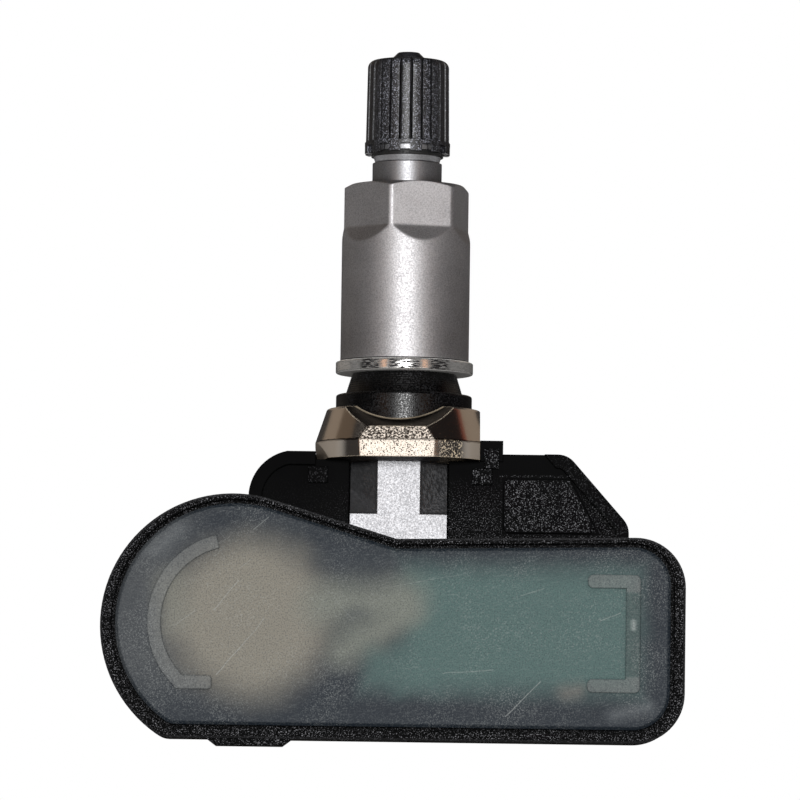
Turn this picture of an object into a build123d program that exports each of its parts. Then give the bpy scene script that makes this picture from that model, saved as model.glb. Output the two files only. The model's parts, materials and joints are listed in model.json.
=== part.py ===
from build123d import *
import math
import os

# Tyre pressure sensor with a clamp-in valve.
# Millimetres. The origin is on the valve's axis at the seat of the rubber flange, where the
# wheel rim lies. +Z points out of the wheel along the valve, and the window faces -Y.

# Clearances
running_gap = 0.08
seat_gap = 0.05
mould_gap = 0.15
weld_gap = 0.02
cut_margin = 1.0

# Valve stem
stem_diameter = 7.9
tip_diameter = 7.7
tip_end = 36.0
tip_start = 27.2
tip_bevel = 0.5
undercut_depth = 0.3
undercut_height = 0.6
undercut_step = 0.12
chamber_diameter = 5.3
chamber_bottom = 22.0
passage_diameter = 2.6
air_hole_diameter = 1.2
air_hole_height = -8.5

# Foot of the stem, a block with two tapered pockets that leave a T
foot_width = 11.0
foot_offset = -0.45
foot_front = -1.6
foot_back = 6.0
foot_web = 4.8
foot_shelf = -13.55
foot_pocket_depth = 3.6
foot_pocket_taper = 42.0

# Valve core
plug_diameter = 5.2
plug_bottom = 32.2
plug_height = 2.9
plug_slot = 1.5
plug_slot_depth = 1.6
barrel_diameter = 4.4
barrel_bore = 3.0
barrel_bottom = 24.5
barrel_floor = 0.8
core_seal_bottom = 28.0
core_seal_height = 2.0
pin_diameter = 1.3
pin_top = 35.6
pin_disc_diameter = 2.5
pin_disc_height = 0.6
poppet_diameter = 4.2
poppet_height = 1.2
spring_wire = 0.3
spring_diameter = 2.2
spring_turns = 6
spring_wire_sides = 4

# Cap
cap_bottom = 27.55
cap_top = 38.3
cap_top_radius = 4.62
cap_low_radius = 4.75
cap_skirt_radius = 4.86
cap_skirt_top = 28.85
cap_wall_top = 1.5
cap_round = 0.85
cap_flutes = 24
cap_clock = -3.0
flute_depth = 0.36
flute_width = 0.34
flute_reach = 2.1
castle_width = 1.2
castle_height = 0.88
castle_depth = 2.4
nub_base_radius = 2.2
nub_top_radius = 1.23
nub_height = 0.95
cap_seal_height = 0.7

# Sleeve nut and washer
nut_diameter = 14.6
nut_height = 20.2
nut_hex_across = 12.85
nut_hex_height = 5.1
nut_hex_runout = 1.7
nut_hex_turn = 45.4
nut_bevel_width = 0.9
nut_bevel_height = 0.5
nut_mouth_bevel = 0.45
nut_edge_break = 0.15
washer_diameter = 15.6
washer_thickness = 1.33
washer_edge = 0.18

# Rubber grommet
flange_diameter = 15.44
flange_height = 4.8
cone_base_diameter = 13.3
cone_nose_diameter = 11.8
cone_height = 2.43
flange_round = 0.25

# Collar
collar_rim = -1.65
collar_rim_radius = 8.7
collar_belt = -5.55
collar_belt_radius = 10.0
collar_bottom = -7.5
collar_bottom_radius = 9.95
collar_rim_round = 0.4
collar_front_turn = -4.7
collar_front_flat = 9.06
collar_slope_top = 6.1
collar_slope_foot = 8.93
collar_slope_foot_height = -4.1
collar_side_flat = 8.65
collar_chamfer_turn = 10.0
collar_chamfer_width = 0.8
collar_chamfer_drop = 0.1

# Tray, the drop-shaped box that holds the cell and the board
tray_front = -9.0
tray_back = 2.5
tray_round_x = -18.87
tray_round_z = -26.7
tray_round_radius = 14.8
tray_kink_x = -0.6
tray_kink_z = -16.75
tray_right = 31.85
tray_right_top = -16.15
tray_bottom = -39.3
tray_corner = 5.6
tray_low_corner = 2.2
tray_back_round = 2.2
tray_wall_back = 1.5
rim_left = 1.2
rim_top = 0.62
rim_right = 1.2
rim_bottom = 1.05
rim_bevel = 0.25
ledge_width = 1.0
pad_left = -21.7
pad_right = -12.2
pad_height = 0.75
pad_slope = 1.0
pad_front = -8.5
pad_back = -1.0

# Cradle above the tray, which holds the foot of the stem
cradle_top = -6.65
cradle_front = -2.2
cradle_back = 8.5
cradle_left = -17.4
cradle_right = 25.6
cradle_low = -32.0
cradle_ear_x = -13.1
cradle_ear_z = -11.4
cradle_ear_bulge = 1.05
cradle_slope_top_x = 18.6
cradle_slope_low_z = -14.6
cradle_slope_round = 2.4
cradle_shoulder = -16.0
cradle_back_round = 1.6
core_wall = 1.4
core_rib = 1.2
core_rib_x = 15.4
core_low = -23.0
core_depth = 5.5
lip_width = 1.5
lip_height = 1.1
lip_left_end = -9.9
lip_right_end = 16.0
stud_width = 2.2
stud_height = 1.8
stud_rise = 0.6
stud_z = -9.25
stud_left_x = -9.6
stud_right_x = 9.0
panel_left = 11.4
panel_top_right = 18.9
panel_low_right = 22.2
panel_top = -9.45
panel_low = -15.55
panel_round = 0.8
panel_rise = 0.7
tab_width = 2.6
tab_height = 1.5
tab_depth = 6.0
tab_key_width = 1.6
tab_key_low = -8.3
tab_key_high = -6.1
tab_key_rise = 1.0
tab_front = -2.7

# Window cover
cover_gap = 0.45
cover_recess = 0.35
cover_thickness = 1.4
cover_bevel = 0.35
cover_relief = 0.2
rib_x = -18.4
rib_z = -26.3
rib_radius = 8.5
rib_width = 1.5
rib_start_angle = 104.0
rib_end_angle = 226.0
rib_leg_z = -33.1
rib_leg_end = -21.1
rib_leg_height = 1.5
rib_leg_round = 0.4
bracket_left = 20.9
bracket_right = 26.8
bracket_low = -33.65
bracket_high = -20.45
bracket_bar = 1.5
bracket_post = 1.6
bracket_round = 0.6

# Coin cell, board and what is on it
cell_diameter = 20.0
cell_thickness = 5.0
cell_x = -16.9
cell_z = -26.1
cell_front = -6.6
cell_crimp = 1.2
cell_crimp_step = 0.4
cell_nest_wall = 1.0
cell_nest_height = 4.4
cell_pad_radius = 8.0
cell_pad_wall = 2.0
board_left = -4.5
board_right = 26.9
board_low = -34.8
board_high = -19.0
board_front = -6.3
board_thickness = 1.0
board_round = 1.5
post_diameter = 3.0
post_pin_diameter = 1.4
post_inset = 2.0
post_right_inset = 8.6
strip_thickness = 0.2
strip_width = 5.0
strip_cell_end = -13.0
strip_board_end = 0.6
strip_z = -24.6
side_strip_width = 4.0
side_strip_end = -2.6
chip_x = 20.0
chip_z = -26.6
chip_width = 7.0
chip_depth = 6.0
chip_height = 2.0
chip_port = 1.5
port_outer = 4.0
port_hole = 1.4
coil_x = 6.5
coil_z = -31.0
coil_length = 7.2
coil_width = 2.8
coil_height = 2.4
coil_flange = 1.2
coil_waist = 0.45
crystal_x = 12.5
crystal_length = 3.2
crystal_width = 2.5
crystal_height = 0.8
capacitor_count = 6
capacitor_pitch = 2.2
capacitor_length = 1.6
capacitor_width = 0.8
capacitor_height = 0.8
capacitor_x = 9.0
capacitor_z = -22.0

# Screw that holds the foot from behind
screw_diameter = 3.0
screw_head_diameter = 5.6
screw_head_height = 1.1
screw_head_bevel = 0.4
screw_height = -12.5
screw_reach = 4.2
screw_socket = 2.0
screw_socket_depth = 0.7
screw_wall = 1.1

# Values that follow from the sizes above
stem_radius = stem_diameter / 2
tip_radius = tip_diameter / 2
washer_bottom = cone_height
nut_bottom = washer_bottom + washer_thickness
nut_top = nut_bottom + nut_height
nut_radius = nut_diameter / 2
collar_floor = -flange_height
flange_radius = flange_diameter / 2
collar_reach = max(collar_rim_radius, collar_belt_radius, collar_bottom_radius)
foot_left = foot_offset - foot_width / 2
foot_right = foot_offset + foot_width / 2
cover_front = tray_front + cover_recess
cover_back = cover_front + cover_thickness
tray_floor = tray_back - tray_wall_back
cell_back = cell_front + cell_thickness
cell_radius = cell_diameter / 2
board_back = board_front + board_thickness
screw_seat = foot_back + seat_gap + screw_wall
tab_left = collar_side_flat + seat_gap
rims = (rim_left, rim_top, rim_right, rim_bottom)

os.makedirs("parts", exist_ok=True)


def front_plane(depth):
    """A plane at y = depth that faces the window side, with X to the right and Z up."""
    return Plane.XZ.offset(-depth)


def top_edge(x):
    """Height of the tray's top edge at x, along its slope or its straight right part."""
    if x > tray_kink_x:
        rise = (tray_right_top - tray_kink_z) / (tray_right - tray_kink_x)
        return tray_kink_z + (x - tray_kink_x) * rise
    reach = math.hypot(tray_kink_x - tray_round_x, tray_kink_z - tray_round_z)
    lean = math.asin(tray_round_radius / reach)
    lean -= math.atan2(tray_kink_z - tray_round_z, tray_kink_x - tray_round_x)
    return tray_kink_z + (tray_kink_x - x) * math.tan(lean)


def drop_face(left=0.0, top=0.0, right=0.0, bottom=0.0):
    """The tray's drop outline, set in from each side: a round end, a slope and a box end."""
    radius = tray_round_radius - (left + top) / 2
    centre_x = tray_round_x + (left - top) / 2
    centre_z = tray_round_z + (left - top) / 2
    kink = (tray_kink_x, tray_kink_z - top)
    reach = math.hypot(kink[0] - centre_x, kink[1] - centre_z)
    bearing = math.atan2(kink[1] - centre_z, kink[0] - centre_x)
    touch = bearing + math.acos(radius / reach)
    low = tray_bottom + bottom
    meet = math.pi + math.asin((centre_z - low) / radius)
    start = (centre_x + radius * math.cos(touch), centre_z + radius * math.sin(touch))
    end = (centre_x + radius * math.cos(meet), low)
    corner = tray_corner - (top + right) / 2
    with BuildSketch() as drop:
        with BuildLine():
            CenterArc(
                (centre_x, centre_z),
                radius,
                math.degrees(touch),
                math.degrees(meet - touch),
            )
            Polyline(
                end,
                (tray_right - right, low),
                (tray_right - right, tray_right_top - top),
                kink,
                start,
            )
        make_face()
        fillet(drop.vertices().group_by(Axis.X)[-1], corner)
        fillet(drop.vertices().sort_by_distance((end[0], end[1], 0))[0], tray_low_corner)
    return drop.sketch


def inset(amount):
    """The tray's rim widths, each grown by the same amount."""
    return [rim + amount for rim in rims]


def cradle_face():
    """The cradle seen from the window side: a round ear, a level top and a slanted ear."""
    with BuildSketch() as cradle_outline:
        with BuildLine():
            ear = ((cradle_left + cradle_ear_x) / 2, (cradle_top + cradle_ear_z) / 2)
            chord = math.hypot(cradle_ear_x - cradle_left, cradle_top - cradle_ear_z)
            bulge_x = cradle_ear_bulge * (cradle_top - cradle_ear_z) / chord
            bulge_z = cradle_ear_bulge * (cradle_ear_x - cradle_left) / chord
            ThreePointArc(
                (cradle_left, cradle_ear_z),
                (ear[0] - bulge_x, ear[1] + bulge_z),
                (cradle_ear_x, cradle_top),
            )
            Polyline(
                (cradle_ear_x, cradle_top),
                (cradle_slope_top_x, cradle_top),
                (cradle_right, cradle_slope_low_z),
                (cradle_right, cradle_low),
                (cradle_left, cradle_low),
                (cradle_left, cradle_ear_z),
            )
        make_face()
        slope_ends = [(cradle_slope_top_x, cradle_top, 0), (cradle_right, cradle_slope_low_z, 0)]
        for slope_end in slope_ends:
            corner = cradle_outline.vertices().sort_by_distance(slope_end)[0]
            fillet(corner, cradle_slope_round)
    return cradle_outline.sketch


def round_edges(builder, radius):
    """The circular edges of a piece that have this radius."""
    circles = builder.edges().filter_by(GeomType.CIRCLE)
    return circles.filter_by(lambda edge: abs(edge.radius - radius) < weld_gap)


def board_posts():
    """Places of the four posts that carry the board, as x and z."""
    left = board_left + post_inset
    right = board_right - post_right_inset
    low = board_low + post_inset
    high = board_high - post_inset
    return [(left, low), (left, high), (right, low), (right, high)]


def cell_rib_face():
    """The C-shaped rib of the cover: an arc on the cell's side, ending in a level leg."""
    leg_left = rib_x + (rib_radius + rib_width) * math.cos(math.radians(rib_end_angle))
    with BuildSketch() as rib:
        with BuildLine():
            CenterArc(
                (rib_x, rib_z),
                rib_radius + rib_width / 2,
                rib_start_angle,
                rib_end_angle - rib_start_angle,
            )
        trace(line_width=rib_width)
        with Locations(((leg_left + rib_leg_end) / 2, rib_leg_z)):
            RectangleRounded(rib_leg_end - leg_left, rib_leg_height, rib_leg_round)
    return rib.sketch


def bracket_face():
    """The bracket of the cover: two round-ended bars joined by an upright at the right."""
    with BuildSketch() as bracket:
        for bar_z in (bracket_high - bracket_bar / 2, bracket_low + bracket_bar / 2):
            with Locations(((bracket_left + bracket_right) / 2, bar_z)):
                RectangleRounded(bracket_right - bracket_left, bracket_bar, bracket_round)
        upright_x = bracket_right - bracket_post / 2
        with Locations((upright_x, (bracket_high + bracket_low) / 2)):
            Rectangle(bracket_post, bracket_high - bracket_low - bracket_bar)
    return bracket.sketch


# Valve stem with its foot
with BuildPart() as valve_stem:
    with BuildSketch(Plane.XZ):
        with BuildLine():
            Polyline(
                (0, collar_bottom),
                (stem_radius, collar_bottom),
                (stem_radius, tip_start - undercut_height - undercut_step),
                (stem_radius - undercut_depth, tip_start - undercut_height),
                (tip_radius, tip_start),
                (tip_radius, tip_end - tip_bevel),
                (tip_radius - tip_bevel, tip_end),
                (0, tip_end),
                close=True,
            )
        make_face()
    revolve(axis=Axis.Z)
    with BuildSketch(front_plane(foot_back)):
        with BuildLine():
            Polyline(
                (foot_left, collar_bottom),
                (foot_right, collar_bottom),
                (foot_right, top_edge(foot_right) + mould_gap),
                (tray_kink_x, tray_kink_z + mould_gap),
                (foot_left, top_edge(foot_left) + mould_gap),
                close=True,
            )
        make_face()
    extrude(amount=foot_back - foot_front)
    pocket_reach = 2 * foot_pocket_depth
    for side, edge in ((-1, foot_left), (1, foot_right)):
        web_edge = foot_offset + side * foot_web / 2
        pocket_width = abs(edge - web_edge) + pocket_reach
        pocket_height = collar_bottom - foot_shelf + pocket_reach
        with BuildSketch(front_plane(foot_front)):
            with Locations((web_edge + side * pocket_width / 2, foot_shelf + pocket_height / 2)):
                Rectangle(pocket_width, pocket_height)
        extrude(amount=-foot_pocket_depth, taper=foot_pocket_taper, mode=Mode.SUBTRACT)
    with BuildSketch(Plane.XY.offset(tip_end)):
        Circle(chamber_diameter / 2)
    extrude(amount=chamber_bottom - tip_end, mode=Mode.SUBTRACT)
    with BuildSketch(Plane.XY.offset(chamber_bottom)):
        Circle(passage_diameter / 2)
    extrude(amount=air_hole_height - chamber_bottom, mode=Mode.SUBTRACT)
    with BuildSketch(front_plane(foot_back)):
        with Locations((0, air_hole_height)):
            Circle(air_hole_diameter / 2)
    extrude(amount=foot_back, mode=Mode.SUBTRACT)
    with BuildSketch(front_plane(foot_back)):
        with Locations((foot_offset, screw_height)):
            Circle(screw_diameter / 2 + seat_gap)
    extrude(amount=screw_reach, mode=Mode.SUBTRACT)
valve_stem.part.label = "valve_stem"
export_step(valve_stem.part, "parts/valve_stem.step")

# Valve core: plug, barrel, seal, pin and spring
with BuildPart() as core_plug:
    with BuildSketch(Plane.XY.offset(plug_bottom)):
        Circle(plug_diameter / 2)
        Circle(pin_diameter / 2 + running_gap, mode=Mode.SUBTRACT)
    extrude(amount=plug_height)
    with BuildSketch(Plane.XY.offset(plug_bottom + plug_height)):
        with Locations((plug_diameter / 2, 0), (-plug_diameter / 2, 0)):
            Rectangle(plug_slot, plug_slot)
    extrude(amount=-plug_slot_depth, mode=Mode.SUBTRACT)
core_plug.part.label = "core_plug"
export_step(core_plug.part, "parts/core_plug.step")

with BuildPart() as core_barrel:
    with BuildSketch(Plane.XY.offset(barrel_bottom)):
        Circle(barrel_diameter / 2)
        Circle(pin_diameter / 2 + running_gap, mode=Mode.SUBTRACT)
    extrude(amount=barrel_floor)
    with BuildSketch(Plane.XY.offset(barrel_bottom + barrel_floor)):
        Circle(barrel_diameter / 2)
        Circle(barrel_bore / 2, mode=Mode.SUBTRACT)
    extrude(amount=plug_bottom - barrel_bottom - barrel_floor)
core_barrel.part.label = "core_barrel"
export_step(core_barrel.part, "parts/core_barrel.step")

with BuildPart() as core_seal:
    with BuildSketch(Plane.XY.offset(core_seal_bottom)):
        Circle(chamber_diameter / 2 - weld_gap)
        Circle(barrel_diameter / 2 + weld_gap, mode=Mode.SUBTRACT)
    extrude(amount=core_seal_height)
core_seal.part.label = "core_seal"
export_step(core_seal.part, "parts/core_seal.step")

spring_bottom = barrel_bottom + barrel_floor + seat_gap
pin_disc_top = plug_bottom - seat_gap
spring_top = pin_disc_top - pin_disc_height - seat_gap
poppet_top = barrel_bottom - seat_gap
with BuildPart() as core_pin:
    with BuildSketch(Plane.XZ):
        with BuildLine():
            Polyline(
                (0, poppet_top - poppet_height),
                (poppet_diameter / 2, poppet_top - poppet_height),
                (poppet_diameter / 2, poppet_top),
                (pin_diameter / 2, poppet_top),
                (pin_diameter / 2, pin_disc_top - pin_disc_height),
                (pin_disc_diameter / 2, pin_disc_top - pin_disc_height),
                (pin_disc_diameter / 2, pin_disc_top),
                (pin_diameter / 2, pin_disc_top),
                (pin_diameter / 2, pin_top),
                (0, pin_top),
                close=True,
            )
        make_face()
    revolve(axis=Axis.Z)
core_pin.part.label = "core_pin"
export_step(core_pin.part, "parts/core_pin.step")

spring_climb = spring_top - spring_bottom - spring_wire
with BuildPart() as core_spring:
    with BuildLine():
        coil_path = Helix(
            spring_climb / spring_turns,
            spring_climb,
            spring_diameter / 2,
            center=(0, 0, spring_bottom + spring_wire / 2),
        )
    with BuildSketch(Plane(coil_path @ 0, z_dir=coil_path % 0)):
        RegularPolygon(spring_wire / 2, spring_wire_sides)
    sweep(is_frenet=True)
core_spring.part.label = "core_spring"
export_step(core_spring.part, "parts/core_spring.step")

# Fluted cap with a castellated skirt, and its seal
cap_ceiling = cap_top - cap_wall_top
with BuildPart() as flute:
    with BuildSketch(Plane.XY.offset(cap_skirt_top)):
        with BuildLine():
            Polyline(
                (cap_low_radius - flute_depth, 0),
                (cap_low_radius, -flute_width / 2),
                (cap_low_radius + flute_depth, 0),
                (cap_low_radius, flute_width / 2),
                close=True,
            )
        make_face()
    flute_lean = Vector(cap_top_radius - cap_low_radius, 0, cap_top - cap_skirt_top)
    extrude(amount=flute_lean.length, dir=flute_lean)
    flute_runout = Vector(-flute_reach, 0, flute_depth)
    with BuildSketch(Plane((cap_top_radius, 0, cap_top), x_dir=(0, 1, 0), z_dir=flute_runout)):
        with BuildLine():
            Polyline(
                (0, -flute_depth),
                (flute_width / 2, 0),
                (0, flute_depth),
                (-flute_width / 2, 0),
                close=True,
            )
        make_face()
    extrude(amount=flute_runout.length)

with BuildPart() as valve_cap:
    with BuildSketch(Plane.XZ):
        with BuildLine():
            Polyline(
                (0, cap_bottom),
                (cap_skirt_radius, cap_bottom),
                (cap_skirt_radius, cap_skirt_top),
                (cap_low_radius, cap_skirt_top),
                (cap_top_radius, cap_top),
                (0, cap_top),
                close=True,
            )
        make_face()
    revolve(axis=Axis.Z)
    fillet(valve_cap.edges().filter_by(GeomType.CIRCLE).group_by(Axis.Z)[-1], cap_round)
    with PolarLocations(0, cap_flutes, start_angle=90 + cap_clock + 180 / cap_flutes):
        add(flute.part, mode=Mode.SUBTRACT)
    with BuildSketch(Plane.XZ):
        with BuildLine():
            Polyline(
                (0, cap_top - cap_wall_top / 2),
                (nub_base_radius, cap_top - cap_wall_top / 2),
                (nub_base_radius, cap_top),
                (nub_top_radius, cap_top + nub_height),
                (0, cap_top + nub_height),
                close=True,
            )
        make_face()
    revolve(axis=Axis.Z)
    with BuildSketch(Plane.XY.offset(cap_bottom)):
        Circle(tip_radius + running_gap)
    extrude(amount=cap_ceiling - cap_bottom, mode=Mode.SUBTRACT)
    with BuildSketch(Plane.XY.offset(cap_bottom)):
        with PolarLocations(cap_skirt_radius, cap_flutes // 2, start_angle=90 + cap_clock):
            Rectangle(castle_depth, castle_width)
    extrude(amount=castle_height, mode=Mode.SUBTRACT)
valve_cap.part.label = "valve_cap"
export_step(valve_cap.part, "parts/valve_cap.step")

with BuildPart() as cap_seal:
    with BuildSketch(Plane.XY.offset(cap_ceiling - seat_gap)):
        Circle(tip_radius)
    extrude(amount=-cap_seal_height)
cap_seal.part.label = "cap_seal"
export_step(cap_seal.part, "parts/cap_seal.step")

# Sleeve nut: six flats cut into the top of a cylinder, each running out in a slope
with BuildPart() as sleeve_nut:
    with BuildSketch(Plane.XZ):
        with BuildLine():
            Polyline(
                (0, nut_bottom),
                (nut_radius - nut_edge_break, nut_bottom),
                (nut_radius, nut_bottom + nut_edge_break),
                (nut_radius, nut_top - nut_bevel_height),
                (nut_radius - nut_bevel_width, nut_top),
                (0, nut_top),
                close=True,
            )
        make_face()
    revolve(axis=Axis.Z)
    flat_low = nut_top - nut_hex_height
    for flat in range(6):
        heading = math.radians(nut_hex_turn - 60 + 60 * flat)
        across = (math.cos(heading), math.sin(heading), 0)
        along = (math.sin(heading), -math.cos(heading), 0)
        with BuildSketch(Plane((0, 0, 0), x_dir=across, z_dir=along)):
            with BuildLine():
                Polyline(
                    (nut_hex_across / 2, nut_top + nut_bevel_height),
                    (nut_hex_across / 2, flat_low),
                    (nut_radius, flat_low - nut_hex_runout),
                    (nut_diameter, flat_low - nut_hex_runout),
                    (nut_diameter, nut_top + nut_bevel_height),
                    close=True,
                )
            make_face()
        extrude(amount=nut_radius, both=True, mode=Mode.SUBTRACT)
    with BuildSketch(Plane.XY.offset(nut_bottom)):
        Circle(stem_radius + running_gap)
    extrude(amount=nut_height, mode=Mode.SUBTRACT)
    chamfer(round_edges(sleeve_nut, stem_radius + running_gap), nut_mouth_bevel)
sleeve_nut.part.label = "sleeve_nut"
export_step(sleeve_nut.part, "parts/sleeve_nut.step")

with BuildPart() as washer:
    with BuildSketch(Plane.XY.offset(washer_bottom)):
        Circle(washer_diameter / 2)
        Circle(stem_radius + running_gap, mode=Mode.SUBTRACT)
    extrude(amount=washer_thickness)
    chamfer(round_edges(washer, washer_diameter / 2), washer_edge)
washer.part.label = "washer"
export_step(washer.part, "parts/washer.step")

# Rubber grommet: a cone that plugs the rim hole, on a flange
with BuildPart() as grommet:
    with BuildSketch(Plane.XZ):
        with BuildLine():
            Polyline(
                (stem_radius + seat_gap, collar_floor),
                (flange_radius, collar_floor),
                (flange_radius, -flange_round),
                (flange_radius - flange_round, 0),
                (cone_base_diameter / 2, 0),
                (cone_nose_diameter / 2, cone_height),
                (stem_radius + seat_gap, cone_height),
                close=True,
            )
        make_face()
    revolve(axis=Axis.Z)
grommet.part.label = "grommet"
export_step(grommet.part, "parts/grommet.step")

# Collar: a flared cup with a sloped front, a front flat, a side flat and a chamfered corner
with BuildPart() as collar:
    with BuildSketch(Plane.XZ):
        with BuildLine():
            Polyline(
                (stem_radius + running_gap, collar_bottom),
                (collar_bottom_radius, collar_bottom),
                (collar_belt_radius, collar_belt),
                (collar_rim_radius, collar_rim),
                (flange_radius + seat_gap, collar_rim),
                (flange_radius + seat_gap, collar_floor),
                (stem_radius + running_gap, collar_floor),
                close=True,
            )
        make_face()
    revolve(axis=Axis.Z)
    fillet(round_edges(collar, collar_rim_radius), collar_rim_round)
    slope = (collar_slope_foot - collar_slope_top) / (collar_rim - collar_slope_foot_height)
    with BuildSketch(Plane.YZ.rotated((0, 0, collar_front_turn))):
        with BuildLine():
            Polyline(
                (-collar_slope_top + slope * cut_margin, collar_rim + cut_margin),
                (-collar_slope_foot, collar_slope_foot_height),
                (-collar_front_flat, collar_belt),
                (-collar_front_flat, collar_bottom),
                (-collar_reach - cut_margin, collar_bottom),
                (-collar_reach - cut_margin, collar_rim + cut_margin),
                close=True,
            )
        make_face()
    extrude(amount=collar_reach, both=True, mode=Mode.SUBTRACT)
    with BuildSketch(Plane.YZ.offset(collar_side_flat)):
        with Locations((0, (collar_rim + collar_bottom) / 2)):
            Rectangle(2 * collar_reach, 2 * (collar_rim - collar_bottom))
    extrude(amount=collar_reach, mode=Mode.SUBTRACT)
    with BuildSketch(Plane.XZ.rotated((0, 0, collar_chamfer_turn))):
        with BuildLine():
            Polyline(
                (-collar_belt_radius, collar_belt - collar_chamfer_drop),
                (-collar_belt_radius + collar_chamfer_width, collar_bottom),
                (-collar_reach - cut_margin, collar_bottom),
                (-collar_reach - cut_margin, collar_belt - collar_chamfer_drop),
                close=True,
            )
        make_face()
    extrude(amount=collar_reach, both=True, mode=Mode.SUBTRACT)
collar.part.label = "collar"
export_step(collar.part, "parts/collar.step")

# Cradle block, later joined to the tray: its back leans in and is cored out in three pockets
with BuildPart() as cradle:
    with BuildSketch(front_plane(cradle_back)):
        add(cradle_face())
    extrude(amount=cradle_back - cradle_front)
    with BuildSketch(Plane.YZ.offset(cradle_left)):
        with BuildLine():
            Polyline(
                (cradle_back, cradle_shoulder),
                (cradle_back, cradle_low),
                (tray_back - tray_wall_back, cradle_low),
                close=True,
            )
        make_face()
    extrude(amount=cradle_right - cradle_left, mode=Mode.SUBTRACT)
    behind = cradle.faces().sort_by(Axis.Y)[-2:]
    outer_edges = [edge for face in behind for edge in face.edges()]
    back_edges = [edge for edge in outer_edges if edge.center().Z > cradle_low + cradle_back_round]
    fillet(back_edges, cradle_back_round)
    with BuildSketch(front_plane(cradle_back)):
        offset(cradle_face(), amount=-core_wall)
        with Locations((foot_offset, (cradle_top + cradle_low) / 2)):
            block_width = foot_width + 2 * (mould_gap + core_wall)
            Rectangle(block_width, cradle_top - cradle_low, mode=Mode.SUBTRACT)
        with Locations((core_rib_x, (cradle_top + cradle_low) / 2)):
            Rectangle(core_rib, cradle_top - cradle_low, mode=Mode.SUBTRACT)
        with Locations(((cradle_left + cradle_right) / 2, (core_low + cradle_low) / 2)):
            Rectangle(cradle_right - cradle_left, core_low - cradle_low, mode=Mode.SUBTRACT)
    extrude(amount=core_depth, mode=Mode.SUBTRACT)

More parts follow.
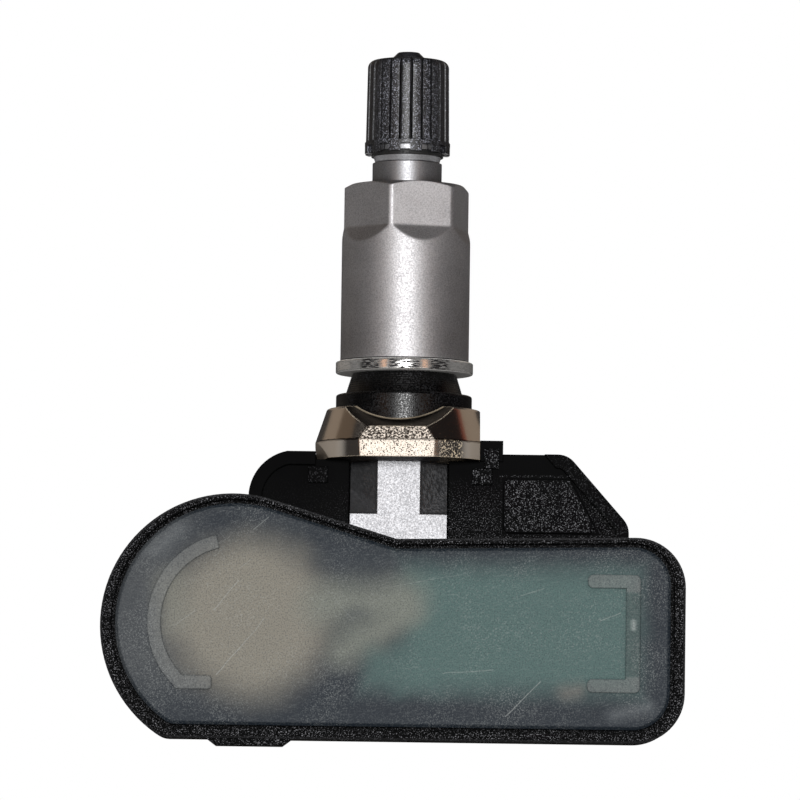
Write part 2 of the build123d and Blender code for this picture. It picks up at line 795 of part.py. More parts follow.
# Housing: tray and cradle in one moulding
with BuildPart() as housing:
    with BuildSketch(front_plane(tray_back)):
        add(drop_face())
    extrude(amount=tray_back - tray_front)
    fillet(housing.edges().group_by(Axis.Y)[-1], tray_back_round)
    chamfer(housing.edges().group_by(Axis.Y)[0], rim_bevel)
    add(cradle.part)

    # Raised border along both ears
    with BuildSketch(front_plane(cradle_front)):
        add(cradle_face())
        offset(cradle_face(), amount=-lip_width, mode=Mode.SUBTRACT)
        with BuildLine():
            slant_low = lip_right_end + cradle_right - cradle_slope_top_x
            Polyline(
                (lip_left_end, cradle_top),
                (lip_right_end, cradle_top),
                (slant_low, cradle_slope_low_z),
                (slant_low, cradle_low),
                (lip_left_end, cradle_low),
                close=True,
            )
        make_face(mode=Mode.SUBTRACT)
    extrude(amount=lip_height)

    # Two studs and a raised panel on the cradle's face
    with BuildSketch(front_plane(cradle_front)):
        with Locations((stud_left_x, stud_z), (stud_right_x, stud_z)):
            Rectangle(stud_width, stud_height)
    extrude(amount=stud_rise)
    with BuildSketch(front_plane(cradle_front)) as panel:
        with BuildLine():
            Polyline(
                (panel_left, panel_low),
                (panel_low_right, panel_low),
                (panel_top_right, panel_top),
                (panel_left, panel_top),
                close=True,
            )
        make_face()
        fillet(panel.vertices(), panel_round)
    extrude(amount=panel_rise)

    # Tab that stops the collar from turning, with a key below it
    with BuildSketch(Plane.XY.offset(collar_bottom)):
        with Locations((tab_left + tab_width / 2, tab_front + tab_depth / 2)):
            Rectangle(tab_width, tab_depth)
    extrude(amount=cradle_top - collar_bottom + tab_height)
    with BuildSketch(front_plane(cradle_front)):
        with Locations((tab_left + tab_width / 2, (tab_key_low + tab_key_high) / 2)):
            Rectangle(tab_key_width, tab_key_high - tab_key_low)
    extrude(amount=tab_key_rise)

    # Pad under the tray
    with BuildSketch(front_plane(pad_back)):
        with BuildLine():
            Polyline(
                (pad_left, tray_bottom),
                (pad_left, tray_bottom + rim_bottom),
                (pad_right, tray_bottom + rim_bottom),
                (pad_right, tray_bottom),
                (pad_right - pad_slope, tray_bottom - pad_height),
                (pad_left + pad_slope, tray_bottom - pad_height),
                close=True,
            )
        make_face()
    extrude(amount=pad_back - pad_front)

    # Seat of the collar, pocket of the foot, and holes for the screw and the air
    seat_slope = (collar_belt_radius - collar_bottom_radius) / (collar_belt - collar_bottom)
    seat_radius = collar_bottom_radius + (cradle_top - collar_bottom) * seat_slope
    with BuildSketch(Plane.XY.offset(collar_bottom)):
        Circle(seat_radius + mould_gap)
        with Locations((tab_left + seat_radius, 0)):
            Rectangle(2 * seat_radius, 2 * seat_radius, mode=Mode.SUBTRACT)
    extrude(amount=cradle_top - collar_bottom, mode=Mode.SUBTRACT)
    with BuildSketch(front_plane(foot_back + seat_gap)):
        pocket_left = foot_left - mould_gap
        pocket_right = foot_right + mould_gap
        with BuildLine():
            Polyline(
                (pocket_left, cradle_top + lip_height),
                (pocket_right, cradle_top + lip_height),
                (pocket_right, top_edge(pocket_right)),
                (tray_kink_x, tray_kink_z),
                (pocket_left, top_edge(pocket_left)),
                close=True,
            )
        make_face()
    extrude(amount=foot_back - tray_front, mode=Mode.SUBTRACT)
    with BuildSketch(front_plane(cradle_back)):
        with Locations((foot_offset, screw_height)):
            Circle(screw_diameter / 2 + mould_gap)
        with Locations((0, air_hole_height)):
            Circle(air_hole_diameter / 2 + mould_gap)
    extrude(amount=cradle_back - foot_back, mode=Mode.SUBTRACT)
    with BuildSketch(front_plane(cradle_back)):
        with Locations((foot_offset, screw_height)):
            Circle(screw_head_diameter / 2 + mould_gap)
    extrude(amount=cradle_back - screw_seat, mode=Mode.SUBTRACT)

    # Room for the cover, the cell and the board
    with BuildSketch(front_plane(cover_back)):
        add(drop_face(*inset(0)))
    extrude(amount=cover_back - tray_front, mode=Mode.SUBTRACT)
    with BuildSketch(front_plane(tray_floor)):
        add(drop_face(*inset(ledge_width)))
    extrude(amount=tray_floor - tray_front, mode=Mode.SUBTRACT)

    # Nest of the cell, posts of the board and the pressure port
    with BuildSketch(front_plane(tray_floor)):
        with Locations((cell_x, cell_z)):
            Circle(cell_radius + mould_gap + cell_nest_wall)
            Circle(cell_radius + mould_gap, mode=Mode.SUBTRACT)
    extrude(amount=cell_nest_height)
    with BuildSketch(front_plane(tray_floor)):
        with Locations((cell_x, cell_z)):
            Circle(cell_pad_radius)
            Circle(cell_pad_radius - cell_pad_wall, mode=Mode.SUBTRACT)
    extrude(amount=tray_floor - cell_back)
    with BuildSketch(front_plane(tray_floor)):
        with Locations(*board_posts()):
            Circle(post_diameter / 2)
    extrude(amount=tray_floor - board_back)
    with BuildSketch(front_plane(board_back)):
        with Locations(*board_posts()):
            Circle(post_pin_diameter / 2)
    extrude(amount=board_thickness)
    with BuildSketch(front_plane(tray_floor)):
        with Locations((chip_x, chip_z)):
            Circle(port_hole / 2)
    extrude(amount=tray_floor - cradle_back, mode=Mode.SUBTRACT)
housing.part.label = "housing"
export_step(housing.part, "parts/housing.step")

# Screw from behind, with a hexagon socket
with BuildPart() as retaining_screw:
    with BuildSketch(front_plane(screw_seat)):
        with Locations((foot_offset, screw_height)):
            Circle(screw_diameter / 2)
    extrude(amount=screw_seat - foot_back + screw_reach - seat_gap)
    with BuildSketch(front_plane(screw_seat)):
        with Locations((foot_offset, screw_height)):
            Circle(screw_head_diameter / 2)
    extrude(amount=-screw_head_height)
    chamfer(retaining_screw.edges().group_by(Axis.Y)[-1], screw_head_bevel)
    with BuildSketch(front_plane(screw_seat + screw_head_height)):
        with Locations((foot_offset, screw_height)):
            RegularPolygon(screw_socket / 2, 6)
    extrude(amount=screw_socket_depth, mode=Mode.SUBTRACT)
retaining_screw.part.label = "retaining_screw"
export_step(retaining_screw.part, "parts/retaining_screw.step")

# Window cover: bevelled edge, a C-shaped rib round the cell and a bracket over the board's end
with BuildPart() as window_cover:
    with BuildSketch(front_plane(cover_back)):
        add(drop_face(*inset(cover_gap)))
    extrude(amount=cover_thickness)
    chamfer(window_cover.edges().group_by(Axis.Y)[0], cover_bevel)
    with BuildSketch(front_plane(cover_front)):
        add(cell_rib_face())
        add(bracket_face())
    extrude(amount=cover_relief)
    with BuildSketch(front_plane(cell_front - weld_gap)):
        add(cell_rib_face())
    extrude(amount=cell_front - weld_gap - cover_back)
    with BuildSketch(front_plane(board_front - weld_gap)):
        add(bracket_face())
    extrude(amount=board_front - weld_gap - cover_back)
window_cover.part.label = "window_cover"
export_step(window_cover.part, "parts/window_cover.step")

# Coin cell and its two welded strips
with BuildPart() as battery:
    with BuildSketch(front_plane(cell_back)):
        with Locations((cell_x, cell_z)):
            Circle(cell_radius)
    extrude(amount=cell_thickness - cell_crimp_step)
    chamfer(battery.edges().group_by(Axis.Y)[-1], cell_crimp_step)
    with BuildSketch(front_plane(cell_front + cell_crimp_step)):
        with Locations((cell_x, cell_z)):
            Circle(cell_radius - cell_crimp)
    extrude(amount=cell_crimp_step)
battery.part.label = "battery"
export_step(battery.part, "parts/battery.step")

strip_drop = board_front - cell_front
with BuildPart() as battery_tab_front:
    with BuildSketch(Plane.XY.offset(strip_z - strip_width / 2)):
        bend = (cell_x + cell_radius + board_left) / 2
        with BuildLine():
            Polyline(
                (strip_cell_end, cell_front - weld_gap),
                (bend - strip_drop, cell_front - weld_gap),
                (bend + strip_drop, board_front - weld_gap),
                (strip_board_end, board_front - weld_gap),
                (strip_board_end, board_front - weld_gap - strip_thickness),
                (bend + strip_drop, board_front - weld_gap - strip_thickness),
                (bend - strip_drop, cell_front - weld_gap - strip_thickness),
                (strip_cell_end, cell_front - weld_gap - strip_thickness),
                close=True,
            )
        make_face()
    extrude(amount=strip_width)
battery_tab_front.part.label = "battery_tab_front"
export_step(battery_tab_front.part, "parts/battery_tab_front.step")

with BuildPart() as battery_tab_side:
    with BuildSketch(Plane.XY.offset(cell_z - side_strip_width / 2)):
        side_left = cell_x + cell_radius + weld_gap
        side_front = board_back + weld_gap
        with BuildLine():
            Polyline(
                (side_left, side_front),
                (side_strip_end, side_front),
                (side_strip_end, side_front + strip_thickness),
                (side_left + strip_thickness, side_front + strip_thickness),
                (side_left + strip_thickness, tray_floor - cell_nest_height - seat_gap),
                (side_left, tray_floor - cell_nest_height - seat_gap),
                close=True,
            )
        make_face()
    extrude(amount=side_strip_width)
battery_tab_side.part.label = "battery_tab_side"
export_step(battery_tab_side.part, "parts/battery_tab_side.step")

# Board, with holes for the pins of its posts
with BuildPart() as pcb:
    with BuildSketch(front_plane(board_back)):
        board_width = board_right - board_left
        board_height = board_high - board_low
        with Locations(((board_left + board_right) / 2, (board_low + board_high) / 2)):
            RectangleRounded(board_width, board_height, board_round)
        with Locations(*board_posts()):
            Circle(post_pin_diameter / 2 + seat_gap, mode=Mode.SUBTRACT)
    extrude(amount=board_thickness)
pcb.part.label = "pcb"
export_step(pcb.part, "parts/pcb.step")

# What the board carries on its inner side
with BuildPart() as sensor_chip:
    with BuildSketch(front_plane(board_back)):
        with Locations((chip_x, chip_z)):
            Rectangle(chip_width, chip_depth)
    extrude(amount=-chip_height)
    with BuildSketch(front_plane(board_back + chip_height)):
        with Locations((chip_x, chip_z)):
            Circle(chip_port / 2)
    extrude(amount=chip_height / 2, mode=Mode.SUBTRACT)
sensor_chip.part.label = "sensor_chip"
export_step(sensor_chip.part, "parts/sensor_chip.step")

with BuildPart() as port_seal:
    with BuildSketch(front_plane(tray_floor)):
        with Locations((chip_x, chip_z)):
            Circle(port_outer / 2)
            Circle(chip_port / 2, mode=Mode.SUBTRACT)
    extrude(amount=tray_floor - board_back - chip_height)
port_seal.part.label = "port_seal"
export_step(port_seal.part, "parts/port_seal.step")

with BuildPart() as lf_coil:
    with BuildSketch(front_plane(board_back)):
        with Locations((coil_x, coil_z)):
            Rectangle(coil_length, coil_width)
    extrude(amount=-coil_height)
    waist_length = coil_length - 2 * coil_flange
    for side in (-1, 1):
        with BuildSketch(front_plane(board_back)):
            with Locations((coil_x, coil_z + side * (coil_width - coil_waist) / 2)):
                Rectangle(waist_length, coil_waist)
        extrude(amount=-coil_height, mode=Mode.SUBTRACT)
lf_coil.part.label = "lf_coil"
export_step(lf_coil.part, "parts/lf_coil.step")

with BuildPart() as crystal:
    with BuildSketch(front_plane(board_back)):
        with Locations((crystal_x, chip_z)):
            Rectangle(crystal_length, crystal_width)
    extrude(amount=-crystal_height)
crystal.part.label = "crystal"
export_step(crystal.part, "parts/crystal.step")

with BuildPart() as chip_capacitors:
    with BuildSketch(front_plane(board_back)):
        with Locations((capacitor_x, capacitor_z)):
            with GridLocations(capacitor_pitch, capacitor_pitch, capacitor_count, 1):
                Rectangle(capacitor_width, capacitor_length)
    extrude(amount=-capacitor_height)
chip_capacitors.part.label = "chip_capacitors"
export_step(chip_capacitors.part, "parts/chip_capacitors.step")
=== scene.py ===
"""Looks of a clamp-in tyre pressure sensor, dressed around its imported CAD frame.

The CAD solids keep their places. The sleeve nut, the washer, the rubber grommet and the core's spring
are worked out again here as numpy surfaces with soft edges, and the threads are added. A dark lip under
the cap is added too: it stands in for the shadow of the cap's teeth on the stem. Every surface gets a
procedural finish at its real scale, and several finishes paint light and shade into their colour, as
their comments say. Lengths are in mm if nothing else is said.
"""

import json
import logging
import math
from dataclasses import dataclass
from enum import Enum
from functools import cached_property
from typing import Any, Optional, Sequence, Union

import bpy
import numpy as np
from mathutils import Matrix, Vector

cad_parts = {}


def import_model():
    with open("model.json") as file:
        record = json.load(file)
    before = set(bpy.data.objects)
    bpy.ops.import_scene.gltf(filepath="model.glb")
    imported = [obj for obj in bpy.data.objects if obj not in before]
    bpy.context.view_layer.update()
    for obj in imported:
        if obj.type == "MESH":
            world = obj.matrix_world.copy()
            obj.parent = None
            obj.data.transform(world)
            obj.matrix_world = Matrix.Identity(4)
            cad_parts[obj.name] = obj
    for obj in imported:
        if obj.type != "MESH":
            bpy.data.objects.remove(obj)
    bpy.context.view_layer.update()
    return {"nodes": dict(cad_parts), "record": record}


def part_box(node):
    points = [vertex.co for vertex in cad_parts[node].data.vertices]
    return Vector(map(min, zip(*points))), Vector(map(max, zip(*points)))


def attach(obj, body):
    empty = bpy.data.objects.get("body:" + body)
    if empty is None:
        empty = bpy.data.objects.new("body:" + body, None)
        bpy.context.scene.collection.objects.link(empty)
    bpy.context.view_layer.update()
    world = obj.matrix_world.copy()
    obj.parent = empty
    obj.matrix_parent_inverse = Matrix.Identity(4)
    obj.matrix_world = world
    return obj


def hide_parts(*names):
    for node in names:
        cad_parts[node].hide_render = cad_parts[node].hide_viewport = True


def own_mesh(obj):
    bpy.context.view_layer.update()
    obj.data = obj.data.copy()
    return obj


LOG = logging.getLogger("tyre_pressure_sensor")
MM = 0.001

Array = np.ndarray
Material = bpy.types.Material
Piece = bpy.types.Object
Span = tuple[float, float]
Triple = tuple[float, float, float]
Colour = tuple[float, float, float, float]


class Body(Enum):
    """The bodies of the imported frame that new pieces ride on."""

    SENSOR = "sensor"
    CAP = "cap"
    WASHER = "clamp_washer"
    NUT = "clamp_nut"


class Slot(Enum):
    """The record's material slots."""

    CAP = "cap_plastic"
    SEAL = "seal_rubber"
    STEM = "stem_alloy"
    CORE = "core_brass"
    SPRING = "spring_steel"
    NUT = "nut_alloy"
    WASHER = "washer_plate"
    GROMMET = "grommet_rubber"
    COLLAR = "collar_plate"
    HOUSING = "housing_plastic"
    COVER = "cover_plastic"
    CELL = "cell_steel"
    STRIP = "strip_nickel"
    BOARD = "board_green"
    CHIP = "chip_plastic"
    CAPACITOR = "capacitor_ceramic"


class Field:
    """A number, vector or colour in a node graph; arithmetic on it adds nodes."""

    def __init__(self, graph: "Graph", socket: bpy.types.NodeSocket) -> None:
        """Hold one socket of a graph."""
        self.graph = graph
        self.socket = socket

    def __add__(self, other: "Level") -> "Field":
        """Add a value."""
        return self.graph.math("ADD", self, other)

    def __sub__(self, other: "Level") -> "Field":
        """Take a value off."""
        return self.graph.math("SUBTRACT", self, other)

    def __rsub__(self, other: float) -> "Field":
        """Take this off a number."""
        return self.graph.math("SUBTRACT", other, self)

    def __mul__(self, other: "Level") -> "Field":
        """Multiply by a value."""
        return self.graph.math("MULTIPLY", self, other)

    def __or__(self, other: "Level") -> "Field":
        """Take the larger of this and a value."""
        return self.graph.math("MAXIMUM", self, other)

    def __neg__(self) -> "Field":
        """Turn the sign round."""
        return self * -1.0

    def __abs__(self) -> "Field":
        """Take the sign off."""
        return self.graph.math("ABSOLUTE", self)

    def ease(self, low: float = 0.3, high: float = 0.7) -> "Field":
        """Rise smoothly from 0 where this is low to 1 where it is high."""
        return self.graph.add("ShaderNodeMapRange", {"interpolation_type": "SMOOTHSTEP"},
                              {"Value": self, "From Min": low, "From Max": high})

    def ramp(self, low: float, high: float) -> "Field":
        """Rise smoothly from 0 at a low to 1 at a high length."""
        return self.ease(low * MM, high * MM)

    def span(self, low: float, high: float = 1.0) -> "Field":
        """Carry a share from 0 to 1 over to the span from low to high."""
        return self.graph.add("ShaderNodeMapRange", None, {"Value": self, "To Min": low, "To Max": high})

    def mix(self, first: "Level", second: "Level") -> "Field":
        """Mix two colours by this share from 0 to 1."""
        return self.graph.add("ShaderNodeMix", {"data_type": "RGBA"}, {0: self, 6: first, 7: second}, 2)

    def bump(self, depth: float, normal: Optional["Field"] = None) -> "Field":
        """Give the normals of a surface raised by this height, from 0 to 1, times a depth."""
        inputs = {"Height": self, "Distance": depth * MM, "Strength": 1.0}
        if normal is not None:
            inputs["Normal"] = normal
        return self.graph.add("ShaderNodeBump", None, inputs)

    def split(self) -> list["Field"]:
        """Take a vector or a colour apart into its three numbers."""
        node = self.graph.node("ShaderNodeSeparateXYZ", None, {0: self})
        return [Field(self.graph, socket) for socket in node.outputs]


Level = Union[Field, float, Colour]


class Graph:
    """The node tree of a material or a world, written as expressions."""

    def __init__(self, owner: Union[Material, bpy.types.World]) -> None:
        """Empty the owner's tree."""
        self.owner = owner
        owner.use_nodes = True
        self.tree = owner.node_tree
        self.tree.nodes.clear()

    def node(self, kind: str, settings: Optional[dict[str, Any]] = None,
             inputs: Optional[dict[Union[str, int], Any]] = None) -> bpy.types.Node:
        """Add a node and feed it.

        Args:
            kind: The node's type.
            settings: The node's own properties.
            inputs: What goes into its sockets, by name or place: a field is linked, a value is set.

        Returns:
            The new node.
        """
        node = self.tree.nodes.new(kind)
        for key, value in (settings or {}).items():
            setattr(node, key, value)
        for key, value in (inputs or {}).items():
            if isinstance(value, Field):
                self.tree.links.new(value.socket, node.inputs[key])
            else:
                node.inputs[key].default_value = value
        return node

    def add(self, kind: str, settings: Optional[dict[str, Any]] = None,
            inputs: Optional[dict[Union[str, int], Any]] = None, output: Union[str, int] = 0) -> Field:
        """Add a node, feed it and give one of its outputs."""
        return Field(self, self.node(kind, settings, inputs).outputs[output])

    def math(self, operation: str, first: Level, second: Level = 0.0) -> Field:
        """Work out one step of arithmetic."""
        return self.add("ShaderNodeMath", {"operation": operation}, {0: first, 1: second})

    def vector(self, operation: str, first: Any, second: Any = (0.0, 0.0, 0.0),
               output: Union[str, int] = 0) -> Field:
        """Work out one step of vector arithmetic; the output "Value" is for steps that give a number."""
        return self.add("ShaderNodeVectorMath", {"operation": operation}, {0: first, 1: second}, output)

    def scale(self, vector: Any, factor: Level) -> Field:
        """Make a vector longer or shorter."""
        return self.add("ShaderNodeVectorMath", {"operation": "SCALE"}, {0: vector, "Scale": factor})

    @cached_property
    def place(self) -> Field:
        """The Object coordinates."""
        return self.add("ShaderNodeTexCoord", output="Object")

    @cached_property
    def xyz(self) -> list[Field]:
        """The Object coordinates one by one."""
        return self.place.split()

    @cached_property
    def normal(self) -> Field:
        """The true normal."""
        return self.add("ShaderNodeNewGeometry", output="Normal")

    @cached_property
    def facing(self) -> list[Field]:
        """The true normal's shares along X, Y and Z."""
        return self.normal.split()

    @cached_property
    def radius(self) -> Field:
        """How far a point lies from the valve's axis."""
        return self.vector("LENGTH", self.vector("MULTIPLY", self.place, (1.0, 1.0, 0.0)), output="Value")

    def leaned(self, angle: float) -> Field:
        """Give the Object coordinates turned about Y."""
        return self.add("ShaderNodeMapping", None, {"Vector": self.place, "Rotation": (0.0, angle, 0.0)})

    def noise(self, size: float, detail: float = 2.0, stretch: Sequence[float] = (1.0, 1.0, 1.0),
              place: Optional[Field] = None) -> Field:
        """Give cloudy noise from 0 to 1.

        Args:
            size: The width of one cloud.
            detail: How many finer layers are added.
            stretch: A factor on each axis; a small one draws the clouds out along it.
            place: Other coordinates than the object's own.

        Returns:
            The noise.
        """
        spread = self.vector("MULTIPLY", place or self.place, tuple(stretch))
        return self.add("ShaderNodeTexNoise", None,
                        {"Vector": spread, "Scale": 1.0 / (size * MM), "Detail": detail}, "Fac")

    def rounded(self, radius: float) -> Field:
        """Give normals that catch the light along edges as if these were rounded."""
        return self.add("ShaderNodeBevel", {"samples": 4}, {"Radius": radius * MM})

    def bend(self, soft: Field) -> Field:
        """Give how well rounded normals agree with the true ones: 1 off the edges, less along them."""
        return self.vector("DOT_PRODUCT", self.normal, soft, "Value")

    def surface(self, **inputs: Any) -> Material:
        """Close the graph with a principled surface; underscores in the names stand for spaces."""
        named = {key.replace("_", " "): value for key, value in inputs.items()}
        shader = self.add("ShaderNodeBsdfPrincipled", None, named)
        self.node("ShaderNodeOutputMaterial", None, {"Surface": shader})
        return self.owner


def material_graph(name: str) -> Graph:
    """Start the graph of a new material."""
    return Graph(bpy.data.materials.new(name))


@dataclass(frozen=True)
class Finish:
    """A surface finish, which makes one material."""

    name: str

    def look(self, graph: Graph) -> Material:
        """Close a graph with the finish's surface."""
        raise NotImplementedError

    def material(self) -> Material:
        """Make the finish's material."""
        return self.look(material_graph(self.name))


@dataclass(frozen=True)
class GrainedPlastic(Finish):
    """Black moulded plastic with a spark-eroded grain, whose tips carry painted glints."""

    colour: Colour
    # The pale colour of the tips: a painted glint.
    painted_glint: Colour
    grain: float
    depth: float
    gloss: float
    specular: float
    tips: Span
    edge: float
    cloud: float = 6.0
    uneven: float = 0.06
    faintest: float = 0.55

    def shown(self, graph: Graph) -> Field:
        """Give how strongly the tips show: in broad clouds."""
        return graph.noise(self.cloud, 3.0).ease().span(self.faintest)

    def ground(self, graph: Graph) -> Level:
        """Give the colour under the tips: one plain colour."""
        return self.colour

    def form(self, graph: Graph) -> Field:
        """Give the normals under the grain: the solid's own, with rounded edges."""
        return graph.rounded(self.edge)

    def look(self, graph: Graph) -> Material:
        """Make the plastic: dark ground, painted glints as pale tips where fine noise peaks, grain as bump.
        """
        # The pale tips are painted glints, where the grain would catch the light.
        tips = graph.noise(self.grain, 1.0).ease(*self.tips) * self.shown(graph)
        return graph.surface(
            Base_Color=tips.mix(self.ground(graph), self.painted_glint),
            Roughness=graph.noise(self.cloud, 3.0).span(self.gloss - self.uneven, self.gloss + self.uneven),
            Specular_IOR_Level=self.specular,
            Normal=graph.noise(self.grain).bump(self.depth, self.form(graph)),
        )


@dataclass(frozen=True)
class FlutedPlastic(GrainedPlastic):
    """The cap's plastic, whose ribs between the flutes look rounded."""

    ribs: int = 24
    clock: float = -3.0
    swell: float = 0.05
    inner: Span = (3.6, 3.9)
    low: Span = (28.8, 29.0)
    rib: Span = (0.46, 0.34)
    facing: Span = (0.55, 1.0)
    dimmest: float = 0.06
    whole_turns: float = 100.0

    def aside(self, graph: Graph) -> Field:
        """Give how far a point lies off the nearest rib's middle, as a share of the ribs' pitch.

        The angle round the axis, counted in ribs, is brought to the span from -0.5 to 0.5. The share is
        its absolute value on the wall, outside the inner radius and above the skirt, and 0 elsewhere.
        """
        across, depth, height = graph.xyz
        count = graph.math("ARCTAN2", depth, across) * (self.ribs / (2 * math.pi))
        count = count - (self.ribs * (90.0 + self.clock) / 360.0 - 0.5)
        off = graph.math("FRACT", count + self.whole_turns) - 0.5
        return abs(off) * (graph.radius.ramp(*self.inner) * height.ramp(*self.low))

    def shown(self, graph: Graph) -> Field:
        """Give the painted glints' share: full on ribs facing front or back, painted shade aside and in
        flutes.
        """
        # Ribs that face the front or the back get painted light; ribs aside and the flutes get painted shade.
        ribs = self.aside(graph).ease(*self.rib)
        return super().shown(graph) * ribs * abs(graph.facing[1]).ease(*self.facing).span(self.dimmest)

    def form(self, graph: Graph) -> Field:
        """Give the rounded normals of the ribs, whose height falls off with the square of the way aside."""
        aside = self.aside(graph)
        return (aside * aside * -4.0).bump(self.swell, super().form(graph))


@dataclass(frozen=True)
class HousingPlastic(GrainedPlastic):
    """The housing's plastic: painted glints on flats and proud parts, fading up the cradle as a painted
    shadow.
    """

    face: float = -2.2
    raised: Span = (0.52, 0.57)
    level: Span = (0.25, 0.05)
    lip: float = 1.05
    step: float = 0.02
    tray: float = 3.0
    # The fade up the cradle is a painted shadow of the collar; the fade to the left is painted shade.
    fading: Span = (-8.5, -15.0)
    face_share: float = 0.85
    leftward: Span = (-12.0, 3.0)
    left_shade_share: float = 0.12
    # The side colour: a painted sheen on faces that don't look to the front.
    side: Colour = (0.02, 0.02, 0.021, 1)
    flat: Span = (0.6, 0.95)
    side_share: float = 0.3
    panel_left: float = 11.4
    panel_top: float = -9.45
    panel_low: float = -15.55
    panel_slant: Span = (18.9, 22.2)
    # No glints along the panel's outline: a painted shadow in its gap.
    outline: Span = (0.1, 0.2)
    ledge: float = 0.35
    ledge_width: Span = (0.16, 0.08)
    ledge_above: Span = (-9.75, -9.35)
    ledge_share: float = 0.8
    ear: Span = (14.0, 23.0)
    ear_share: float = 0.3

    def panel_way(self, across: Field, height: Field) -> Field:
        """Give how far a point lies outside the panel, less than 0 inside it.

        It is the largest of the ways out over the left, upper and lower edge and over the slanted right
        edge, whose way out is measured square to the slant.
        """
        right = self.panel_slant
        slant = Vector((self.panel_top - self.panel_low, right[1] - right[0])).normalized()
        foot = slant.x * right[0] + slant.y * self.panel_top
        over = across * slant.x + height * slant.y - foot * MM
        left = self.panel_left * MM - across
        top = height - self.panel_top * MM
        low = self.panel_low * MM - height
        return left | top | low | over

    def ground(self, graph: Graph) -> Level:
        """Give the colour under the tips: black on faces that look to the front, a painted sheen of dark grey
        elsewhere.
        """
        return (-graph.facing[1]).ease(*self.flat).mix(self.side, self.colour)

    def shown(self, graph: Graph) -> Field:
        """Give how strongly the tips show.

        The tips are painted glints. They show fully on the tray's front and on the studs and the panel, which
        stand out from the cradle's face by more than the raised and less than the lip's depth. On the face
        itself they fade from low down to its top, a painted shadow of the collar, and everywhere on the
        cradle they fade to the left, as painted shade. None show along the panel's outline, a painted shadow
        in its gap, some on the ledge above the panel, a painted lit line, and few on the ear at the right. On
        faces that look aside they show less, as painted shade.
        """
        across, depth, height = graph.xyz
        forward = self.face * MM - depth
        before_lip, past_lip = self.lip - self.step, self.lip + self.step
        raised = forward.ramp(*self.raised) * forward.ramp(past_lip, before_lip)
        # On the face the glints fade from low down to its top: a painted shadow of the collar above.
        level = height.ramp(*self.fading) * self.face_share * forward.ramp(*self.level)
        # Fewer glints towards the left: painted shade.
        sideways = across.ramp(*self.leftward).span(self.left_shade_share)
        way = self.panel_way(across, height)
        # A thin line of glints on the ledge above the panel: a painted lit line.
        ledge = abs(way - self.ledge * MM).ramp(*self.ledge_width) * height.ramp(*self.ledge_above)
        ear = forward.ramp(before_lip, past_lip) * across.ramp(*self.ear)
        cradle = (raised | level) * sideways | ledge * self.ledge_share | ear * self.ear_share
        # No glints along the panel's outline: a painted shadow in its gap.
        share = cradle * abs(way).ramp(*self.outline) | forward.ramp(self.tray, 2 * self.tray)
        # Fewer glints on faces that look aside: painted shade.
        return share * abs(graph.facing[1]).ease(*self.flat).span(self.side_share) * super().shown(graph)


@dataclass(frozen=True)
class SatinAlloy(Finish):
    """Bead-blasted alloy: fine sparkling grain, pale and slightly cool."""

    light: Colour
    dark: Colour
    grain: float
    depth: float
    gloss: float
    edge: float = 0.1
    rim: Colour = (0.2, 0.2, 0.2, 1)
    # Where the piece stands on another, a thin band is painted dark as a contact shadow.
    shadow_seam: float = -100.0
    shadow_seam_height: float = 0.1
    shadow_seam_colour: Colour = (0.01, 0.01, 0.01, 1)
    cloud: float = 3.5
    cloud_share: float = 0.25
    pale: Span = (0.3, 0.66)
    uneven: float = 0.1

    def bright(self, graph: Graph) -> Level:
        """Give how metallic the alloy is: all over alike."""
        return 1.0

    def rougher(self, graph: Graph) -> Level:
        """Give what is added to the roughness: nothing."""
        return 0.0

    def look(self, graph: Graph) -> Material:
        """Make the alloy: colour and roughness follow a fine noise, with the same noise as bump.

        Just above the height where the piece stands on another, it is painted dark: a painted contact shadow.
        """
        fine = graph.noise(self.grain)
        share = fine * (1.0 - self.cloud_share) + graph.noise(self.cloud, 3.0) * self.cloud_share
        alloy = share.ease(*self.pale).mix(self.dark, self.light)
        # A painted contact shadow just above where the piece stands on another.
        shadow_seam = graph.xyz[2].ramp(self.shadow_seam + 2 * self.shadow_seam_height, self.shadow_seam + self.shadow_seam_height)
        return graph.surface(
            Base_Color=shadow_seam.mix(alloy, self.shadow_seam_colour),
            Metallic=self.bright(graph),
            Specular_Tint=self.rim,
            Roughness=fine.span(self.gloss + self.uneven, self.gloss - self.uneven) + self.rougher(graph),
            Normal=fine.bump(self.depth, graph.rounded(self.edge)),
        )


@dataclass(frozen=True)
class FootedAlloy(SatinAlloy):
    """The stem's alloy, with brushed pockets in its foot."""

    foot: Span = (-7.6, -7.9)
    foot_rough: float = 0.06
    inside: Span = (-1.4, -1.2)
    rightward: Span = (-6.0, 5.0)
    left_shade_share: float = 0.3
    lean: float = 0.65
    dull: float = 0.72
    stroke: float = 0.24
    stroke_stretch: Triple = (1.0, 1.0, 0.1)
    strokes: Span = (0.4, 0.66)

    def rougher(self, graph: Graph) -> Level:
        """Give what is added to the roughness: some on the foot."""
        return graph.xyz[2].ramp(*self.foot) * self.foot_rough

    def bright(self, graph: Graph) -> Level:
        """Give how metallic the alloy is: less on the pockets' strokes, least at the right; strokes fade left
        as painted shade.
        """
        across, depth, height = graph.xyz
        strokes = graph.noise(self.stroke, 2.0, self.stroke_stretch, graph.leaned(self.lean))
        # The strokes show most at the right, as painted light, and fade to the left, as painted shade.
        lit = across.ramp(*self.rightward).span(self.left_shade_share)
        pockets = height.ramp(*self.foot) * depth.ramp(*self.inside)
        return (pockets * strokes.ease(*self.strokes) * lit).span(1.0, self.dull)


